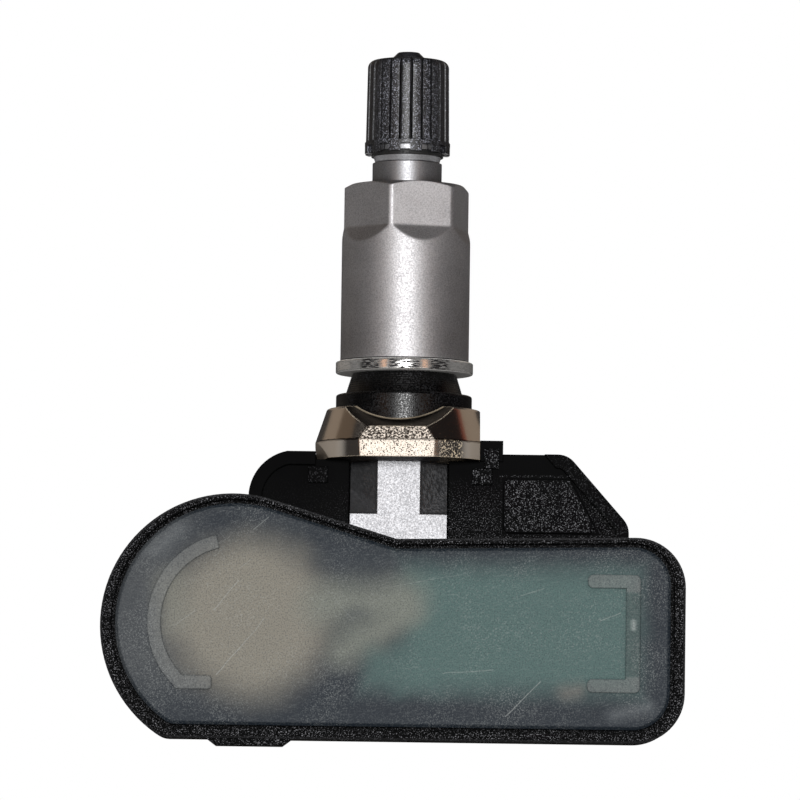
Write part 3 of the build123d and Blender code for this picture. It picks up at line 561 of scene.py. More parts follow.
@dataclass(frozen=True)
class StreakedPlate(Finish):
    """Bright plated steel whose rim carries dark dashes, drawn out round it."""

    light: Colour
    dark: Colour
    radius: float
    stretch: Triple = (0.12, 0.12, 1.0)
    hair: float = 0.09
    gloss: float = 0.2
    depth: float = 0.006
    edge: float = 0.08
    bands: tuple[tuple[Span, Span], ...] = (((0.36, 0.64), (0.4, 0.5)), ((-0.1, 0.25), (0.43, 0.5)))
    faint: Span = (0.45, 0.65)
    faint_share: float = 0.35
    dash_rough: float = 0.65
    metal: float = 0.8
    inner_soft: float = 0.03
    outer_soft: float = 0.05
    rim: Span = (0.7, 0.4)
    flat: Span = (0.7, 0.9)
    uneven: Span = (-0.06, 0.08)

    def band(self, aside: Field, inner: float, outer: float) -> Field:
        """Give 1 where the way off the middle lies between two shares of the radius, with soft ends."""
        near, far = self.inner_soft, self.outer_soft
        return (aside.ramp((inner - near) * self.radius, (inner + near) * self.radius)
                * aside.ramp((outer + far) * self.radius, (outer - far) * self.radius))

    def look(self, graph: Graph) -> Material:
        """Make the plate: stretched noise as dashes in bands on the rim, faint elsewhere; dull flat sides."""
        aside, upright = abs(graph.xyz[0]), abs(graph.facing[2])
        hairs = graph.noise(self.hair, 2.0, self.stretch)
        wear_and_painted_light = hairs.ease(*self.faint) * self.faint_share
        # The dashes are the plate's own streaks; their bands by X, beside the front's middle, are painted
        # dark reflection.
        for reach, limits in self.bands:
            wear_and_painted_light = wear_and_painted_light | hairs.ease(*limits) * self.band(aside, *reach)
        wear_and_painted_light = wear_and_painted_light * upright.ease(*self.rim)
        rough = hairs.span(self.gloss + self.uneven[0], self.gloss + self.uneven[1])
        return graph.surface(
            Base_Color=wear_and_painted_light.mix(self.light, self.dark),
            Metallic=upright.ease(*self.flat).span(self.metal, 0.0),
            Roughness=rough | wear_and_painted_light * self.dash_rough,
            Normal=hairs.bump(self.depth, graph.rounded(self.edge)),
        )


@dataclass(frozen=True)
class CastPlate(Finish):
    """Warm nickel plate over a cast surface: glossy cones, and pitted flats at the front."""

    light: Colour
    dark: Colour
    # The beige is a painted reflection on the far sides and down-looking slants; the pale colour is partly
    # wear, partly painted highlights and glints.
    painted_beige: Colour
    bare_and_lit: Colour
    gloss: float
    pit: float
    pit_depth: float
    belt: float = -5.55
    belt_soft: float = 0.05
    edge: float = 0.18
    specks_from: Span = (3.8, 4.4)
    specks_to: Span = (7.4, 6.2)
    far: Span = (6.2, 7.8)
    far_share: float = 0.85
    brim: Span = (8.05, 7.9)
    slope_share: float = 0.9
    rubbed_lit_share: float = 0.7
    coarse: float = 1.15
    coarse_stretch: Triple = (0.65, 1.0, 1.0)
    speck: float = 1.3
    roughest: float = 0.5
    front_rough: float = 0.85
    front: Span = (0.9, 0.97)
    slope: Span = (0.34, 0.42)
    under: Span = (0.75, 0.9)
    slant: Span = (0.03, 0.12)
    ahead: Span = (-0.3, 0.1)
    fine_pits: Span = (0.44, 0.32)
    coarse_pits: Span = (0.54, 0.44)
    speckle: Span = (0.52, 0.64)
    flow: float = 1.6
    bent: Span = (0.985, 0.9)
    rub_lit: Span = (0.28, 0.46)
    rubbed_lit_dark: float = 0.2
    brim_least: float = 0.5
    crack_cloud: float = 0.9
    crack_wander: float = 0.3
    crack_width: Span = (0.16, 0.07)
    crack_share: Span = (0.9, 0.6)

    def crack(self, graph: Graph, front: Field) -> Field:
        """Give the dark parting line that wanders along the belt, beside the front flats."""
        wander = (graph.noise(self.crack_cloud, 3.0) - 0.5) * (self.crack_wander * MM)
        aside = abs(graph.xyz[2] + wander - self.belt * MM)
        return aside.ramp(*self.crack_width) * front.span(*self.crack_share)

    def look(self, graph: Graph) -> Material:
        """Make the plate: pitted front flats, coarser above the belt, a dark slope and dull undersides.

        The front flats, the slope and the undersides are told apart by the way their normals point. The slope
        is painted dark, a painted dark reflection. Edges, where the rounded normal leaves the true one, are
        painted bare and pale, and so is the slope's brim along the bore: partly wear, partly painted
        highlight lines.
        Below the belt, to the right of the flats, the plate has pale specks, which are painted glints, and
        the band's far sides and the slants that look down are painted a dull beige, a painted reflection.
        """
        across, _, height = graph.xyz
        ahead, down = -graph.facing[1], -graph.facing[2]
        front = ahead.ease(*self.front)
        slope = (ahead * graph.facing[2]).ease(*self.slope)
        under = down.ease(*self.under)
        upper = height.ramp(self.belt - self.belt_soft, self.belt + self.belt_soft)
        fine = graph.noise(self.pit).ease(*self.fine_pits)
        coarse = graph.noise(self.coarse * self.pit, 4.0, self.coarse_stretch).ease(*self.coarse_pits)
        pits = front * (fine | coarse * upper)
        flow = graph.noise(self.flow, 3.0)
        soft = graph.rounded(self.edge)
        # Edges rubbed bare: partly wear, partly painted highlight lines.
        rubbed_lit = graph.bend(soft).ease(*self.bent) * flow.ease(*self.rub_lit)
        # The slope's share of dark is a painted dark reflection.
        dark = (pits | slope * self.slope_share | under) * rubbed_lit.span(1.0, self.rubbed_lit_dark)
        dark = dark | self.crack(graph, front)
        # Pale specks to the right of the flats below the belt: painted glints.
        specks = across.ramp(*self.specks_from) * across.ramp(*self.specks_to) * (1.0 - (upper | front))
        specks = specks * graph.noise(self.speck * self.pit).ease(*self.speckle)
        # The band's far sides and the slants that look down get a dull beige: a painted reflection.
        far = abs(across).ramp(*self.far) * ahead.ease(*self.ahead) * (1.0 - upper)
        slants = (down.ease(*self.slant) | far * self.far_share) * (1.0 - under)
        # The slope's brim along the bore: partly wear, partly a painted highlight line.
        brim = graph.radius.ramp(*self.brim) * slope * flow.span(self.brim_least)
        wear_and_painted_light = (rubbed_lit | brim) * self.rubbed_lit_share | specks
        plate = slants.mix(dark.mix(self.light, self.dark), self.painted_beige)
        rough = front * self.front_rough + flow * (1.0 - self.front_rough) | under | rubbed_lit
        return graph.surface(
            Base_Color=wear_and_painted_light.mix(plate, self.bare_and_lit),
            Metallic=(wear_and_painted_light | slants).span(1.0, 0.0),
            Roughness=rough.span(self.gloss, self.gloss + self.roughest),
            Normal=(-pits).bump(self.pit_depth, soft),
        )


@dataclass(frozen=True)
class MouldedRubber(Finish):
    """Black rubber with a faint grain and a low sheen, smoother on its slopes."""

    colour: Colour
    grey: Colour
    gloss: float
    grain: float
    depth: float
    specular: float = 0.5
    cloud: float = 2.5
    slope: Span = (0.1, 0.25)
    slope_gloss: float = 0.06
    edge: float = 0.1
    bloom: Span = (0.4, 0.75)
    dust: Span = (0.5, 0.64)
    sheen: Span = (0.35, 0.65)
    uneven: Span = (-0.12, 0.16)

    def look(self, graph: Graph) -> Material:
        """Make the rubber: a dusty bloom in clouds, and grain as bump."""
        fine = graph.noise(self.grain)
        bloom = graph.noise(self.cloud, 3.0).ease(*self.bloom) * fine.ease(*self.dust)
        sheen = fine.ease(*self.sheen).span(self.gloss + self.uneven[0], self.gloss + self.uneven[1])
        return graph.surface(
            Base_Color=bloom.mix(self.colour, self.grey),
            Roughness=sheen - graph.facing[2].ease(*self.slope) * self.slope_gloss,
            Specular_IOR_Level=self.specular,
            Normal=fine.bump(self.depth, graph.rounded(self.edge)),
        )


@dataclass(frozen=True)
class DrawnMetal(Finish):
    """Plain satin metal with fine lines along the way it was drawn, rolled or turned."""

    light: Colour
    dark: Colour
    stretch: Triple
    gloss: float
    line: float = 0.15
    depth: float = 0.006
    uneven: float = 0.08

    def look(self, graph: Graph) -> Material:
        """Make the metal: stretched noise drives colour, roughness and bump."""
        lines = graph.noise(self.line, 2.0, self.stretch)
        return graph.surface(
            Base_Color=lines.ease().mix(self.dark, self.light),
            Metallic=1.0,
            Roughness=lines.span(self.gloss + self.uneven, self.gloss - self.uneven),
            Normal=lines.bump(self.depth),
        )


@dataclass(frozen=True)
class SolderResist(Finish):
    """Green solder resist over copper runs."""

    ground: Colour
    run: Colour
    pitch: float
    gloss: Span = (0.28, 0.42)
    depth: float = 0.02
    cloud: float = 0.5
    runs: Span = (0.95, 1.0)

    def look(self, graph: Graph) -> Material:
        """Make the resist: paler runs follow the edges of square cells."""
        cells = graph.add("ShaderNodeTexVoronoi", {"distance": "MANHATTAN", "feature": "F2"},
                          {"Vector": graph.place, "Scale": 1.0 / (self.pitch * MM)}, "Distance")
        runs = cells.ease(*self.runs)
        return graph.surface(
            Base_Color=runs.mix(self.ground, self.run),
            Roughness=graph.noise(self.cloud).span(*self.gloss),
            Normal=runs.bump(self.depth),
        )


@dataclass(frozen=True)
class FiredBody(Finish):
    """A small moulded or fired body of a board part, matt with a fine grain."""

    colour: Colour
    dark: Colour
    gloss: float
    grain: float = 0.12
    depth: float = 0.008
    edge: float = 0.06
    uneven: float = 0.06

    def look(self, graph: Graph) -> Material:
        """Make the body: a fine grain in colour and bump."""
        fine = graph.noise(self.grain)
        return graph.surface(
            Base_Color=fine.ease().mix(self.dark, self.colour),
            Roughness=fine.span(self.gloss - self.uneven, self.gloss + self.uneven),
            Normal=fine.bump(self.depth, graph.rounded(self.edge)),
        )


@dataclass(frozen=True)
class Glow:
    """A soft coloured shape that shows through the frosted cover, in the plane of X and Z."""

    start: Span
    end: Span
    reach: float
    soft: float
    colour: Colour
    strength: float = 1.0
    boxed: bool = False


@dataclass(frozen=True)
class FrostedCover(Finish):
    """Frosted cover plastic: what lies behind shows as soft glows, over it lie grain, haze and scratches."""

    ground: Colour
    glows: tuple[Glow, ...]
    rib: Colour
    dim: Glow
    # A painted highlight dot on the rib's upright.
    highlight_dot: Glow
    front: float
    relief: float
    scratch: Colour
    scratches: tuple[Glow, ...]
    gloss: float
    edge: float = 0.2
    depth: float = 0.008
    brush_lean: float = math.radians(10)
    brush_stretch: Triple = (0.15, 1.0, 1.0)
    brush_share: float = 0.06
    brush: float = 0.13
    brushed: Span = (0.54, 0.74)
    grain: float = 0.16
    grained: Span = (0.54, 0.34)
    grain_share: float = 0.4
    keep_flat: Triple = (1.0, 0.0, 1.0)
    glow_wander: Span = (4.0, 1.6)
    scratch_wander: Span = (3.0, 0.5)
    border: Span = (0.13, 0.08)
    cloud: float = 5.0
    clouds: Span = (0.35, 0.7)
    fine: float = 0.2
    specks: Span = (0.5, 0.72)
    specks_share: Span = (0.07, 0.2)
    spark: float = 0.14
    sparks: Span = (0.56, 0.7)
    sparks_share: Span = (0.08, 0.3)
    rib_rise: Span = (0.3, 0.8)
    rib_share: float = 0.55
    dim_share: float = 0.7
    # Dark outlines along the ribs' edges: painted shade.
    outline: Span = (0.99, 0.94)
    outline_share: float = 0.4
    uneven: Span = (-0.06, 0.1)

    def shape(self, graph: Graph, flat: Field, glow: Glow) -> Field:
        """Give 1 inside a soft box or capsule and 0 outside.

        A box spans from start to end: the distance of a point is the larger of its ways out along X and
        Z. A capsule's distance is the length of what is left of the way from its start once the nearest
        share of its middle line, from 0 to 1, is taken off.

        Args:
            graph: The material's graph.
            flat: The coordinates with Y taken out.
            glow: The shape to draw.

        Returns:
            The share of the glow.
        """
        start = Vector((glow.start[0], 0.0, glow.start[1])) * MM
        line = Vector((glow.end[0], 0.0, glow.end[1])) * MM - start
        if glow.boxed:
            half = Vector((abs(line.x), 0.0, abs(line.z))) / 2
            away = graph.vector("ABSOLUTE", graph.vector("SUBTRACT", flat, tuple(start + line / 2)))
            past = graph.vector("SUBTRACT", away, tuple(half)).split()
            distance = past[0] | past[2]
        else:
            way = graph.vector("SUBTRACT", flat, tuple(start))
            if line.length > 0.0:
                along = graph.vector("DOT_PRODUCT", way, tuple(line / line.length_squared), "Value")
                share = graph.math("MINIMUM", along | 0.0, 1.0)
                way = graph.vector("SUBTRACT", way, graph.scale(tuple(line), share))
            distance = graph.vector("LENGTH", way, output="Value")
        return distance.ramp(glow.reach + glow.soft, glow.reach - glow.soft) * glow.strength

    def moved(self, graph: Graph, flat: Field, size: float, reach: float) -> Field:
        """Push flat coordinates about by a noise of a size and a reach, so that shapes wander."""
        wander = graph.add("ShaderNodeTexNoise", None,
                           {"Vector": flat, "Scale": 1.0 / (size * MM), "Detail": 2.0}, "Color")
        pushed = graph.scale(graph.vector("SUBTRACT", wander, (0.5, 0.5, 0.5)), reach * MM)
        return graph.vector("MULTIPLY", graph.vector("ADD", flat, pushed), self.keep_flat)

    def ribbed(self, graph: Graph, flat: Field, soft: Field, colour: Level) -> Field:
        """Lay the ribs over a colour: pale tops, dim on the upright, a painted highlight dot, painted shade
        along outlines.
        """
        raised = graph.xyz[1].ramp(*(self.front - rise * self.relief for rise in self.rib_rise))
        dim = self.shape(graph, flat, self.dim)
        colour = (raised * dim * self.dim_share).mix(colour, self.dim.colour)
        colour = (raised * dim.span(self.rib_share, 0.0)).mix(colour, self.rib)
        # A painted highlight dot on the upright.
        colour = self.shape(graph, flat, self.highlight_dot).mix(colour, self.highlight_dot.colour)
        # Dark outlines along the ribs' edges: painted shade.
        return (graph.bend(soft).ease(*self.outline) * self.outline_share).mix(colour, self.ground)

    def look(self, graph: Graph) -> Material:
        """Make the cover: ground, then glows, ribs, scratches, grain, brushing and a sparkling border."""
        flat = graph.vector("MULTIPLY", graph.place, self.keep_flat)
        loose = self.moved(graph, flat, *self.glow_wander)
        colour: Level = self.ground
        for glow in self.glows:
            colour = self.shape(graph, loose, glow).mix(colour, glow.colour)
        border = colour.split()[1].ease(*self.border)
        soft = graph.rounded(self.edge)
        colour = self.ribbed(graph, flat, soft, colour)
        bent = self.moved(graph, flat, *self.scratch_wander)
        for line in self.scratches:
            colour = self.shape(graph, bent, line).mix(colour, line.colour)
        brushed = graph.noise(self.brush, 2.0, self.brush_stretch, graph.leaned(self.brush_lean))
        clouds = graph.noise(self.cloud, 3.0).ease(*self.clouds)
        fine = graph.noise(self.fine)
        specks = fine.ease(*self.specks) * clouds.span(*self.specks_share)
        sparks = graph.noise(self.spark, 1.0).ease(*self.sparks) * clouds.span(*self.sparks_share) * border
        colour = (graph.noise(self.grain).ease(*self.grained) * self.grain_share).mix(colour, self.ground)
        colour = (brushed.ease(*self.brushed) * self.brush_share).mix(colour, self.scratch)
        return graph.surface(
            Base_Color=(specks | sparks).mix(colour, self.scratch),
            Roughness=fine.span(self.gloss + self.uneven[0], self.gloss + self.uneven[1]),
            Normal=fine.bump(self.depth, soft),
        )


def soften(corners: Array, reach: Array, steps: int) -> Array:
    """Round the corners of a closed profile.

    Each corner becomes a quadratic curve: it starts on the edge before the corner, ends on the edge
    after it, both at the corner's reach, and is drawn to the corner between.

    Args:
        corners: The corners, one row of radius and height each.
        reach: How far from each corner its curve starts and ends.
        steps: Points on each curve.

    Returns:
        The points of all curves in order.
    """
    before = np.roll(corners, 1, axis=0) - corners
    after = np.roll(corners, -1, axis=0) - corners
    start = corners + before / np.linalg.norm(before, axis=1, keepdims=True) * reach[:, None]
    end = corners + after / np.linalg.norm(after, axis=1, keepdims=True) * reach[:, None]
    share = np.linspace(0.0, 1.0, steps)[None, :, None]
    curve = ((1 - share) ** 2 * start[:, None] + 2 * share * (1 - share) * corners[:, None]
             + share**2 * end[:, None])
    return curve.reshape(-1, 2)


def divide(profile: Array, step: Array) -> Array:
    """Divide each edge of a closed profile evenly, so that no part is longer than the edge's step.

    Args:
        profile: The points, one row each.
        step: The longest part allowed on the edge after each point.

    Returns:
        The points with the new ones between.
    """
    edges = np.roll(profile, -1, axis=0) - profile
    parts = np.maximum(1, np.ceil(np.linalg.norm(edges, axis=1) / step)).astype(int)
    place = np.arange(parts.sum()) - np.repeat(np.cumsum(parts) - parts, parts)
    share = place / np.repeat(parts, parts)
    return np.repeat(profile, parts, axis=0) + np.repeat(edges, parts, axis=0) * share[:, None]


def lattice(rows: int, columns: int, round_rows: bool, round_columns: bool) -> Array:
    """Join a grid of points by four-cornered faces.

    Args:
        rows: Rows of the grid.
        columns: Columns of the grid.
        round_rows: Whether the last row joins the first.
        round_columns: Whether the last column joins the first.

    Returns:
        One row of four point numbers for each face.
    """
    row = np.arange(rows if round_rows else rows - 1)[:, None]
    column = np.arange(columns if round_columns else columns - 1)[None, :]
    next_row, next_column = (row + 1) % rows, (column + 1) % columns
    corners = (row * columns + column, row * columns + next_column,
               next_row * columns + next_column, next_row * columns + column)
    return np.stack(corners, axis=-1).reshape(-1, 4)


def mesh_object(name: str, points: Array, faces: Array, crease: float = 40.0) -> Piece:
    """Put points and faces into a new mesh object at the origin.

    Args:
        name: The object's name.
        points: The points; any grid of them is read row by row.
        faces: Four point numbers for each face.
        crease: Edges that bend by more than this many degrees stay sharp.

    Returns:
        The object, linked to the scene.
    """
    mesh = bpy.data.meshes.new(name)
    mesh.from_pydata((points.reshape(-1, 3) * MM).tolist(), [], faces.tolist())
    mesh.polygons.foreach_set("use_smooth", np.ones(len(faces), dtype=bool))
    mesh.set_sharp_from_angle(angle=math.radians(crease))
    mesh.update()
    made = bpy.data.objects.new(name, mesh)
    bpy.context.scene.collection.objects.link(made)
    return made


def turned(radius: Array, height: Array, angle: Array) -> Array:
    """Place points of given radius and height round the valve's axis: x = r cos a, y = r sin a, z = h."""
    return np.stack(np.broadcast_arrays(radius * np.cos(angle), radius * np.sin(angle), height), axis=-1)


def round_angles(count: int) -> Array:
    """Give evenly spaced angles of one full turn, in a row."""
    return np.linspace(0.0, 2 * np.pi, count, endpoint=False)[None, :]


def ring_object(name: str, points: Array, crease: float = 40.0) -> Piece:
    """Make a closed ring of a grid that is round in both ways; edges sharper than the crease stay sharp."""
    return mesh_object(name, points, lattice(*points.shape[:2], True, True), crease)


def wound_object(name: str, points: Array) -> Piece:
    """Make a closed bar of sections in a row, with each end filled by four-cornered faces.

    Args:
        name: The object's name.
        points: The sections' points, one section a row, with an even number of points.

    Returns:
        The object, linked to the scene.
    """
    rows, sides = points.shape[:2]
    step = np.arange(sides // 2 - 1)[:, None]
    end = np.concatenate((step, step + 1, sides - 2 - step, sides - 1 - step), axis=1)
    far = end[:, ::-1] + (rows - 1) * sides
    faces = np.concatenate((lattice(rows, sides, False, True)[:, ::-1], end, far))
    return mesh_object(name, points, faces, 60.0)


def dress(piece: Piece, material: Material) -> None:
    """Give a piece or a CAD node one material."""
    piece.data.materials.clear()
    piece.data.materials.append(material)


def settle(piece: Piece, material: Material, body: Body, slot: Slot, *nodes: str) -> None:
    """Dress a new piece and tie it to the frame.

    Args:
        piece: The piece.
        material: Its finish.
        body: The body that it rides on.
        slot: The record's slot of its finish; not used.
        nodes: The CAD nodes that it stands for.
    """
    dress(piece, material)
    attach(piece, body.value)
    if nodes:
        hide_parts(*nodes)
    LOG.info("%s: %d faces on %s", piece.name, len(piece.data.polygons), body.value)


@dataclass
class SleeveNut:
    """The clamping nut: a sleeve whose top is cut to a hexagon by flats that run out in slopes."""

    low: float
    high: float
    radius: float = 7.3
    bore: float = 4.03
    mouth: float = 0.45
    across: float = 12.85
    flat_height: float = 5.1
    runout: float = 1.7
    first_flat: float = 45.4
    bevel_width: float = 0.9
    bevel_height: float = 0.5
    corner: float = 0.14
    softness: float = 0.03
    columns: int = 396
    row_step: float = 0.17

    def points(self) -> Array:
        """Work out the nut's grid.

        A closed profile of radius and height is turned round the axis. Where a flat lies closer to the
        axis than the profile, the smaller of the two radii counts: half of their sum less the root of
        their squared difference and the squared softness, which rounds the edge between them. A flat's
        radius at an angle is its distance over the cosine of the angle to its middle, and below the
        flats the distance grows with the depth, which gives the slopes.

        Returns:
            The points, profile by angle.
        """
        corners = np.array((
            (self.bore + self.mouth, self.low), (self.radius, self.low),
            (self.radius, self.high - self.bevel_height), (self.radius - self.bevel_width, self.high),
            (self.bore + self.mouth, self.high), (self.bore, self.high - self.mouth),
            (self.bore, self.low + self.mouth),
        ))
        profile = soften(corners, np.full(len(corners), self.corner), 5)
        outside = profile[:, 0] > self.radius - 2 * self.bevel_width
        profile = divide(profile, np.where(outside, self.row_step, self.high))
        angle = round_angles(self.columns)
        radius, height = profile[:, :1], profile[:, 1:]
        sixth = np.pi / 3
        aside = (angle - np.radians(self.first_flat) + sixth / 2) % sixth - sixth / 2
        below = np.maximum(0.0, (self.high - self.flat_height - height) / self.runout)
        flat = (self.across / 2 + below * (self.radius - self.across / 2)) / np.cos(aside)
        radius = (radius + flat - np.sqrt((radius - flat) ** 2 + self.softness**2)) / 2
        return turned(radius, height, angle)

    def build(self, finish: Material) -> None:
        """Make the nut in place of its solid."""
        settle(ring_object("sleeve_nut_satin", self.points(), 30.0), finish, Body.NUT, Slot.NUT, "sleeve_nut")


@dataclass
class TurnedRing:
    """A ring with a closed profile of soft corners: the washer, the cap's lip that stands in for a shadow,
    the grommet.
    """

    name: str
    corners: tuple[Span, ...]
    edges: tuple[float, ...]
    columns: int = 240
    row_step: float = 0.4
    ring_pitch: float = 0.0
    ring_depth: float = 0.0

    def points(self) -> Array:
        """Work out the ring's grid.

        The softened profile is turned round the axis, and fine mould rings are added to its radius: a
        sine of the height over the ring pitch, times the ring depth and the root of the height above
        the frame's origin, up to 1 mm.

        Returns:
            The points, profile by angle.
        """
        profile = soften(np.array(self.corners), np.array(self.edges), 6)
        profile = divide(profile, np.full(len(profile), self.row_step))
        if self.ring_pitch > 0.0:
            above = np.clip(profile[:, 1], 0.0, 1.0)
            wave = np.sin(2 * np.pi * profile[:, 1] / self.ring_pitch)
            profile[:, 0] += self.ring_depth * np.sqrt(above) * wave
        return turned(profile[:, :1], profile[:, 1:], round_angles(self.columns))

    def build(self, finish: Material, body: Body, slot: Slot, *nodes: str) -> None:
        """Make the ring, in place of its solid if one is named."""
        settle(ring_object(self.name, self.points()), finish, body, slot, *nodes)


@dataclass
class ThreadRidge:
    """A thread's ridge, wound round the stem and sunk into it at both ends."""

    name: str
    radius: float
    low: float
    high: float
    pitch: float
    crest: float = 0.055
    root: float = 0.12
    width: float = 0.46
    cover: float = 0.03
    steps_a_turn: int = 64

    def points(self) -> Array:
        """Work out the ridge's grid.

        A four-cornered section, wide at its root inside the stem and narrow at its crest, is carried
        along a helix: the height grows by one pitch a turn. Over the first and last turn the section
        sinks into the stem with a smooth share.

        Returns:
            The points, one section a row.
        """
        turns = (self.high - self.low) / self.pitch
        turn = np.linspace(0.0, turns, int(turns * self.steps_a_turn))[:, None]
        share = np.clip(np.minimum(turn, turns - turn), 0.0, 1.0)
        sunk = (1.0 - share**2 * (3 - 2 * share)) * (self.crest + self.cover)
        out = np.array((-self.root, self.crest, self.crest, -self.root))[None, :]
        up = np.array((-self.width, -self.width / 4, self.width / 4, self.width))[None, :] / 2
        return turned(self.radius + out - sunk, self.low + turn * self.pitch + up, 2 * np.pi * turn)

    def build(self, finish: Material) -> None:
        """Make the ridge and tie it to the stem."""
        settle(wound_object(self.name, self.points()), finish, Body.SENSOR, Slot.STEM)


@dataclass
class CoilSpring:
    """The core's spring: round wire wound in even turns."""

    low: float
    high: float
    radius: float = 1.1
    wire: float = 0.3
    turns: int = 6
    sides: int = 8
    steps_a_turn: int = 36
    joint: str = "core_pin_press"
    travel: float = 1.2

    def points(self) -> Array:
        """Work out the wire's grid.

        A circle across the wire is carried along a helix: its cosine adds to the helix's radius and its
        sine to the helix's height, which grows evenly from the lowest turn to the highest.

        Returns:
            The points, one circle a row.
        """
        turn = np.linspace(0.0, self.turns, self.turns * self.steps_a_turn + 1)[:, None]
        about = round_angles(self.sides)
        middle = self.low + self.wire / 2 + (self.high - self.low - self.wire) * turn / self.turns
        return turned(self.radius + self.wire / 2 * np.cos(about), middle + self.wire / 2 * np.sin(about),
                      2 * np.pi * turn)

    def build(self, finish: Material) -> None:
        """Make the spring in place of its solid, on a mesh of its own."""
        piece = wound_object("core_spring_coil", self.points())
        settle(piece, finish, Body.SENSOR, Slot.SPRING, "core_spring")
        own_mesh(piece)


def section(inner: float, outer: float, low: float, high: float) -> tuple[Span, ...]:
    """Give the four corners of a plain ring's section."""
    return (inner, low), (outer, low), (outer, high), (inner, high)


@dataclass
class Valve:
    """The clamp-in valve: cap, stem with its core, nut, washer, grommet and collar."""

    washer_bore: float = 4.03
    grommet_bore: float = 4.0
    cone_foot: float = 6.65
    cone_top: float = 5.9
    # The cap's lip: a dark ring that stands in for the shadow of the cap's teeth on the stem.
    lip_bore: float = 3.95
    lip_radius: float = 4.1
    lip_drop: float = 0.34
    lip_rise: float = 0.3

    def finishes(self) -> dict[Slot, Finish]:
        """Give the finish of each slot on the valve."""
        return {
            Slot.CAP: FlutedPlastic("cap_black", (0.004, 0.004, 0.0047, 1), (0.42, 0.43, 0.5, 1), grain=0.14,
                                    depth=0.02, gloss=0.42, specular=0.7, tips=(0.5, 0.74), edge=0.08),
            Slot.SEAL: MouldedRubber("seal_black", (0.006, 0.006, 0.006, 1), (0.02, 0.02, 0.02, 1),
                                     gloss=0.6, grain=0.2, depth=0.01),
            Slot.STEM: FootedAlloy("stem_satin", (0.43, 0.43, 0.445, 1), (0.3, 0.3, 0.312, 1),
                                   grain=0.15, depth=0.01, gloss=0.47),
            Slot.CORE: DrawnMetal("core_turned_brass", (0.78, 0.6, 0.28, 1), (0.55, 0.4, 0.17, 1),
                                  stretch=(0.1, 0.1, 1.0), gloss=0.28),
            Slot.SPRING: DrawnMetal("drawn_steel", (0.62, 0.62, 0.63, 1), (0.42, 0.42, 0.43, 1),
                                    stretch=(1.0, 1.0, 0.2), gloss=0.3),
            Slot.NUT: SatinAlloy("nut_blasted", (0.63, 0.62, 0.63, 1), (0.42, 0.41, 0.42, 1), grain=0.15,
                                 depth=0.012, gloss=0.545, edge=0.04,
                                 shadow_seam=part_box("sleeve_nut")[0].z / MM),
            Slot.WASHER: StreakedPlate("washer_bright", (0.86, 0.84, 0.81, 1), (0.04, 0.038, 0.04, 1),
                                       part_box("washer")[1].x / MM),
            Slot.GROMMET: MouldedRubber("grommet_black", (0.001, 0.001, 0.0012, 1), (0.025, 0.025, 0.028, 1),
                                        gloss=0.33, grain=0.16, depth=0.02, specular=0.4),
            Slot.COLLAR: CastPlate("collar_nickel", (0.84, 0.76, 0.67, 1), (0.05, 0.04, 0.033, 1),
                                   (0.27, 0.222, 0.175, 1), (0.62, 0.5, 0.34, 1),
                                   gloss=0.13, pit=0.14, pit_depth=0.02),
        }

    def build(self) -> dict[Slot, Material]:
        """Make the valve's own surfaces and return its materials."""
        made = {slot: finish.material() for slot, finish in self.finishes().items()}
        low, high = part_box("sleeve_nut")
        SleeveNut(low.z / MM, high.z / MM).build(made[Slot.NUT])
        low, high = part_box("washer")
        ring = section(self.washer_bore, high.x / MM, low.z / MM, high.z / MM)
        TurnedRing("washer_bright_ring", ring, (0.1, 0.22, 0.22, 0.1)).build(
            made[Slot.WASHER], Body.WASHER, Slot.WASHER, "washer")
        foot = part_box("valve_cap")[0].z / MM
        # A dark ring below the cap, put where the teeth's shadow falls on the stem: a painted shadow.
        lip = section(self.lip_bore, self.lip_radius, foot - self.lip_drop, foot + self.lip_rise)
        TurnedRing("cap_shadow_lip", lip, (0.02, 0.05, 0.05, 0.02)).build(made[Slot.SEAL], Body.CAP, Slot.SEAL)
        low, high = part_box("grommet")
        flange, under, top = high.x / MM, low.z / MM, high.z / MM
        plug = ((self.grommet_bore, under), (flange, under), (flange, 0.0), (self.cone_foot, 0.0),
                (self.cone_top, top), (self.grommet_bore, top))
        TurnedRing("grommet_ringed", plug, (0.1, 0.2, 0.3, 0.12, 0.15, 0.1), columns=216, row_step=0.06,
                   ring_pitch=0.26, ring_depth=0.011).build(
            made[Slot.GROMMET], Body.SENSOR, Slot.GROMMET, "grommet")
        low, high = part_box("core_spring")
        CoilSpring(low.z / MM, high.z / MM).build(made[Slot.SPRING])
        ThreadRidge("tip_thread", radius=3.85, low=27.9, high=35.2, pitch=0.794).build(made[Slot.STEM])
        ThreadRidge("shank_thread", radius=3.95, low=2.9, high=23.2, pitch=1.0).build(made[Slot.STEM])
        return made


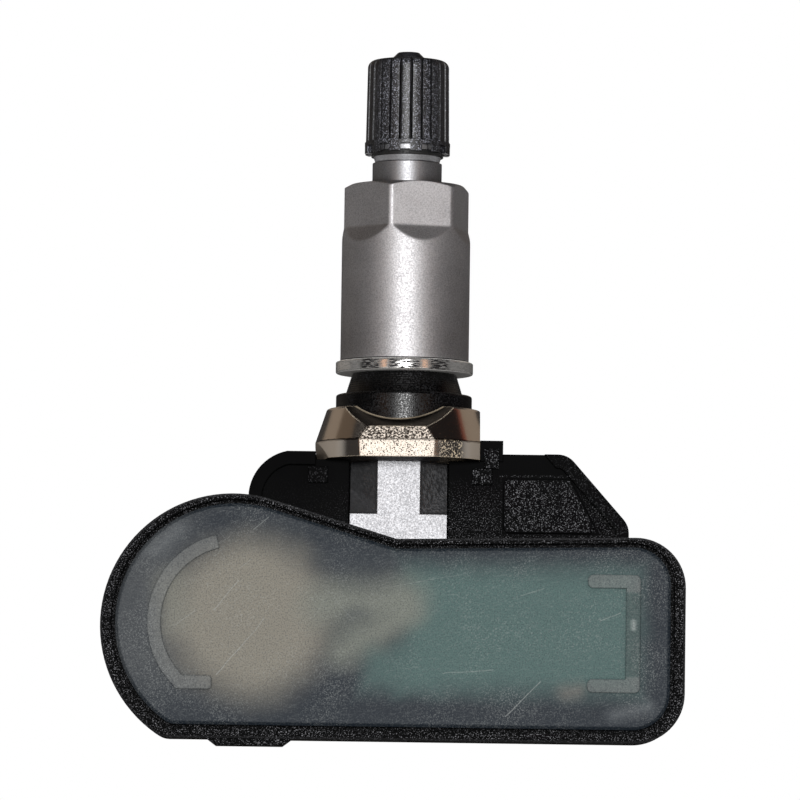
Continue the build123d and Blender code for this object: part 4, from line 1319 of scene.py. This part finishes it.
@dataclass
class SensorBox:
    """The housing with its frosted cover, and the cell and board behind that."""

    relief: float = 0.2
    scratch_width: float = 0.06

    def glows(self) -> tuple[Glow, ...]:
        """Give what shows through the cover: the cell and board placed by the solids behind, the rest at
        given points.
        """
        low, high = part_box("battery")
        cell = ((low.x + high.x) / 2 / MM, (low.z + high.z) / 2 / MM + 0.3)
        low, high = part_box("pcb")
        left, right, foot, head = low.x / MM, high.x / MM, low.z / MM, high.z / MM
        green = (0.073, 0.137, 0.128, 1)
        pale = (0.195, 0.207, 0.174, 1)
        shade = (0.032, 0.041, 0.05, 1)
        haze = (0.3, 0.32, 0.33, 1)
        return (
            Glow((-34.0, -34.0), (-24.0, -12.0), 0.0, 4.0, (0.078, 0.083, 0.087, 1), 0.6, True),
            Glow((left + 4.5, foot + 0.7), (right, head - 0.4), -0.4, 2.3, green, boxed=True),
            Glow((left, foot + 0.7), (left + 9.0, foot + 6.5), -0.4, 2.0, green, 0.85, True),
            Glow(cell, cell, 8.7, 3.1, (0.24, 0.221, 0.179, 1)),
            Glow((-25.6, -22.3), (-25.4, -25.8), 1.2, 2.6, (0.243, 0.24, 0.196, 1), 0.7),
            Glow((-8.5, -24.2), (0.2, -23.6), 2.3, 2.6, pale, 0.9),
            Glow((-6.4, -29.4), (0.2, -25.2), 1.5, 2.0, pale, 0.9),
            # The shade glows are painted shadows between the parts behind the cover.
            Glow((-5.3, -25.3), (-4.4, -25.1), 0.4, 1.6, shade, 0.6),
            Glow((-9.2, -19.3), (-1.0, -19.5), 0.7, 1.9, shade, 0.75),
            Glow((-17.6, -13.9), (-11.5, -15.6), 0.3, 1.3, shade, 0.5),
            Glow((18.4, -33.6), (19.8, -33.4), 0.7, 1.2, (0.19, 0.16, 0.14, 1), 0.6),
            Glow((23.9, -36.2), (27.8, -35.3), 0.3, 1.3, haze, 0.35),
            Glow((-27.9, -18.4), (-24.9, -16.0), 0.3, 1.5, haze, 0.3),
        )

    def scratches(self) -> tuple[Glow, ...]:
        """Give the longer scratches on the cover: each from and to a point in X and Z, with a strength."""
        lines = (
            ((-20.6, -32.2), (-18.0, -29.2), 0.6), ((-18.0, -29.2), (-15.3, -25.9), 0.5),
            ((-25.3, -26.8), (-23.0, -25.0), 0.45), ((-20.9, -25.0), (-18.3, -21.7), 0.55),
            ((-18.1, -20.2), (-16.9, -19.2), 0.4), ((-16.6, -15.9), (-15.0, -14.5), 0.5),
            ((11.8, -36.5), (15.7, -32.5), 0.6), ((4.8, -31.7), (10.4, -31.3), 0.45),
            ((22.3, -25.7), (24.6, -24.7), 0.5), ((-2.4, -22.4), (6.8, -20.6), 0.3),
            ((13.3, -22.9), (16.0, -22.1), 0.4), ((-7.2, -23.9), (-5.3, -26.0), 0.3),
        )
        width, colour = self.scratch_width, (0.42, 0.44, 0.42, 1)
        return tuple(Glow(start, end, width * strength, width, colour, strength)
                     for start, end, strength in lines)

    def finishes(self) -> dict[Slot, Finish]:
        """Give the finish of each slot on the box and behind its cover."""
        low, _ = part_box("window_cover")
        upright = Glow((25.1, -31.9), (26.9, -22.4), 0.0, 0.2, (0.05, 0.082, 0.078, 1), boxed=True)
        # A painted highlight dot on the rib's upright.
        highlight_dot = Glow((26.03, -25.7), (26.04, -26.4), 0.2, 0.35, (0.5, 0.54, 0.52, 1), 0.55)
        return {
            Slot.HOUSING: HousingPlastic("housing_black", (0.001, 0.001, 0.0012, 1), (0.3, 0.3, 0.318, 1),
                                         grain=0.13, depth=0.02, gloss=0.55, specular=0.03,
                                         tips=(0.56, 0.75), edge=0.14),
            Slot.COVER: FrostedCover("cover_frosted", (0.008, 0.0155, 0.026, 1), self.glows(),
                                     rib=(0.17, 0.175, 0.17, 1), dim=upright, highlight_dot=highlight_dot,
                                     front=low.y / MM + self.relief, relief=self.relief,
                                     scratch=(0.5, 0.52, 0.5, 1), scratches=self.scratches(), gloss=0.66),
            Slot.CELL: DrawnMetal("cell_satin", (0.72, 0.7, 0.64, 1), (0.55, 0.53, 0.48, 1),
                                  stretch=(0.2, 1.0, 1.0), gloss=0.34),
            Slot.STRIP: DrawnMetal("strip_rolled", (0.7, 0.69, 0.64, 1), (0.5, 0.49, 0.45, 1),
                                   stretch=(0.15, 1.0, 1.0), gloss=0.32),
            Slot.BOARD: SolderResist("board_resist", (0.02, 0.12, 0.07, 1), (0.06, 0.24, 0.14, 1), pitch=2.2),
            Slot.CHIP: FiredBody("chip_moulded", (0.035, 0.035, 0.036, 1), (0.02, 0.02, 0.02, 1), gloss=0.5),
            Slot.CAPACITOR: FiredBody("capacitor_fired", (0.46, 0.34, 0.24, 1), (0.36, 0.26, 0.18, 1),
                                      gloss=0.45),
        }

    def build(self) -> dict[Slot, Material]:
        """Make the box's materials."""
        return {slot: finish.material() for slot, finish in self.finishes().items()}


def towards(azimuth: Array, elevation: Array) -> Array:
    """Give directions by azimuth, from the front towards +X, and by elevation, both in degrees."""
    turn, rise = np.radians(azimuth), np.radians(elevation)
    return np.stack(np.broadcast_arrays(
        np.sin(turn) * np.cos(rise), -np.cos(turn) * np.cos(rise), np.sin(rise)), axis=-1)


@dataclass
class Card:
    """A card that only reflections see: a patch of a sphere round the object, in degrees and metres."""

    name: str
    azimuth: Span
    elevation: Span
    colour: Triple
    distance: float = 0.8
    rows: int = 13
    columns: int = 25

    def build(self) -> None:
        """Make the card: its points lie at its distance in each direction of a grid of the two angles."""
        azimuth = np.linspace(*self.azimuth, self.columns)[None, :]
        elevation = np.linspace(*self.elevation, self.rows)[:, None]
        points = self.distance / MM * towards(azimuth, elevation)
        card = mesh_object(self.name, points, lattice(self.rows, self.columns, False, False))
        graph = material_graph(self.name)
        glow = graph.add("ShaderNodeEmission", None, {"Color": (*self.colour, 1.0)})
        graph.node("ShaderNodeOutputMaterial", None, {"Surface": glow})
        graph.owner.cycles.emission_sampling = "NONE"
        dress(card, graph.owner)
        card.visible_camera = card.visible_diffuse = card.visible_shadow = card.visible_transmission = False


@dataclass
class Lamp:
    """A soft square lamp that looks at the object, in metres, degrees and watts."""

    name: str
    azimuth: float
    elevation: float
    distance: float
    side: float
    power: float
    mirrored: bool = True

    def build(self) -> None:
        """Make the lamp at its place and turn it to the object."""
        data = bpy.data.lights.new(self.name, "AREA")
        data.size, data.energy = self.side, self.power
        lamp = bpy.data.objects.new(self.name, data)
        way = Vector(towards(self.azimuth, self.elevation))
        lamp.location = way * self.distance
        lamp.rotation_mode = "QUATERNION"
        lamp.rotation_quaternion = way.to_track_quat("Z", "Y")
        lamp.visible_camera = False
        lamp.visible_glossy = self.mirrored
        bpy.context.scene.collection.objects.link(lamp)


@dataclass
class Studio:
    """Pale floor, white surroundings, soft lamps and the cards that metal reflects; lengths in metres."""

    floor_height: float = -0.09
    floor_half: float = 0.7
    floor_rows: int = 9
    fill: float = 0.36
    lamps: tuple[Lamp, ...] = (
        Lamp("front_lamp", azimuth=0.0, elevation=2.0, distance=1.2, side=0.14, power=8.5),
        Lamp("back_lamp", azimuth=180.0, elevation=25.0, distance=1.2, side=0.3, power=7.0, mirrored=False),
        Lamp("left_lamp", azimuth=-120.0, elevation=15.0, distance=1.2, side=0.3, power=2.0, mirrored=False),
        Lamp("right_lamp", azimuth=120.0, elevation=15.0, distance=1.2, side=0.3, power=2.0, mirrored=False),
        Lamp("top_lamp", azimuth=0.0, elevation=90.0, distance=1.6, side=1.2, power=20.0, mirrored=False),
    )
    cards: tuple[Card, ...] = (
        Card("warm_card_left", (-37.0, -31.0), (-6.0, 16.0), (1.2, 0.6, 0.3), 0.78),
        Card("warm_card_right", (31.0, 37.0), (-6.0, 16.0), (1.2, 0.6, 0.3), 0.78),
        Card("black_card_right", (37.0, 94.0), (18.0, 62.0), (0.012, 0.01, 0.01), 0.78),
        Card("red_card_right", (94.0, 100.0), (14.0, 62.0), (0.16, 0.045, 0.03), 0.78),
        Card("brown_card_left", (-108.0, -80.0), (14.0, 62.0), (0.11, 0.085, 0.065), 0.78),
        Card("dark_card", (-100.0, 100.0), (-24.0, 34.0), (0.036, 0.034, 0.034)),
        Card("beige_card_left", (-180.0, -100.0), (17.0, 34.0), (0.24, 0.2, 0.165)),
        Card("beige_card_right", (100.0, 180.0), (17.0, 34.0), (0.24, 0.2, 0.165)),
        Card("tan_card_left", (-150.0, -104.0), (-3.0, 8.0), (0.15, 0.132, 0.115), 0.78),
        Card("grey_card_left", (-150.0, -100.0), (-24.0, 17.0), (0.042, 0.04, 0.039)),
        Card("grey_card_right", (100.0, 150.0), (-24.0, 17.0), (0.042, 0.04, 0.039)),
        Card("grey_card_back", (150.0, 210.0), (-24.0, 17.0), (0.042, 0.04, 0.039)),
        Card("top_card", (-180.0, 180.0), (34.0, 90.0), (0.033, 0.031, 0.03)),
        Card("ground_card", (-180.0, 180.0), (-90.0, -12.0), (0.05, 0.046, 0.042), 0.085),
        Card("ground_card_back", (50.0, 310.0), (-12.0, -5.0), (0.042, 0.04, 0.039), 0.085),
    )

    def surround(self) -> None:
        """Make the world: white to the camera, to reflections and through glass, a plain fill otherwise."""
        world = bpy.data.worlds.new("white_surround")
        bpy.context.scene.world = world
        graph = Graph(world)
        rays = ("Is Camera Ray", "Is Glossy Ray", "Is Transmission Ray")
        camera, glossy, through = (graph.add("ShaderNodeLightPath", output=kind) for kind in rays)
        strength = (camera | glossy | through).span(self.fill)
        sky = graph.add("ShaderNodeBackground", None, {"Color": (1.0, 1.0, 1.0, 1.0), "Strength": strength})
        graph.node("ShaderNodeOutputWorld", None, {"Surface": sky})
        world.cycles.sampling_method = "NONE"

    def floor(self) -> None:
        """Lay the pale floor: a square grid at one height."""
        along = np.linspace(-self.floor_half, self.floor_half, self.floor_rows) / MM
        across, up = np.meshgrid(along, along)
        points = np.stack((across, up, np.full_like(across, self.floor_height / MM)), axis=-1)
        floor = mesh_object("pale_floor", points, lattice(self.floor_rows, self.floor_rows, False, False))
        graph = material_graph("floor_paper")
        paper = graph.noise(2.0, 3.0).mix((0.8, 0.8, 0.8, 1), (0.84, 0.84, 0.84, 1))
        dress(floor, graph.surface(Base_Color=paper, Roughness=0.9, Specular_IOR_Level=0.1))
        floor.visible_diffuse = False

    def build(self) -> None:
        """Make the whole studio."""
        bpy.context.scene.view_settings.view_transform = "Standard"
        self.surround()
        self.floor()
        for part in (*self.lamps, *self.cards):
            part.build()
        LOG.info("studio: %d lamps, %d cards", len(self.lamps), len(self.cards))


@dataclass
class PhotoCamera:
    """The camera where the photograph was taken from: metres, pixels a metre, pixels and degrees."""

    distance: float = 0.7
    scale: float = 8800.0
    image: float = 800.0
    elevation: float = -4.5
    roll: float = 0.8
    origin: Span = (404.0, 396.0)
    sensor: float = 36.0
    clip: Span = (0.01, 20.0)

    def build(self) -> None:
        """Make the camera.

        It looks along +Y and up by the elevation, is rolled about its view, and stands at the distance
        from the point that falls in the middle of the image: the frame's origin, shifted in the image
        plane by the origin's offset from the middle over the scale.
        """
        tilt, turn = math.radians(-self.elevation), math.radians(self.roll)
        ahead = Vector((0.0, math.cos(tilt), math.sin(tilt)))
        side = Vector((1.0, 0.0, 0.0))
        above = side.cross(ahead)
        right = side * math.cos(turn) + above * math.sin(turn)
        up = above * math.cos(turn) - side * math.sin(turn)
        half = self.image / 2
        middle = right * ((half - self.origin[0]) / self.scale) + up * ((self.origin[1] - half) / self.scale)
        place = middle - ahead * self.distance
        data = bpy.data.cameras.new("photo_camera")
        data.sensor_width = self.sensor
        data.lens = self.sensor * self.scale * self.distance / self.image
        data.clip_start, data.clip_end = self.clip
        camera = bpy.data.objects.new("photo_camera", data)
        axes = Matrix((right, up, -ahead)).transposed().to_4x4()
        camera.matrix_world = Matrix.Translation(place) @ axes
        bpy.context.scene.collection.objects.link(camera)
        bpy.context.scene.camera = camera


def dress_nodes(frame: dict[str, Any], materials: dict[Slot, Material]) -> None:
    """Give every CAD node the finish of its slot in the record.

    Args:
        frame: The loaded frame.
        materials: The finish of each slot.
    """
    for row in frame["record"]["subparts"]:
        dress(frame["nodes"][row["node"]], materials[Slot(row["material_slot"])])
        LOG.info("%s: %s", row["node"], row["material_slot"])


def main() -> None:
    """Load the frame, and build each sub-assembly in order."""
    logging.basicConfig(level=logging.INFO)
    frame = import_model()
    PhotoCamera().build()
    materials = Valve().build() | SensorBox().build()
    dress_nodes(frame, materials)
    Studio().build()


if __name__ == "__main__":
    main()
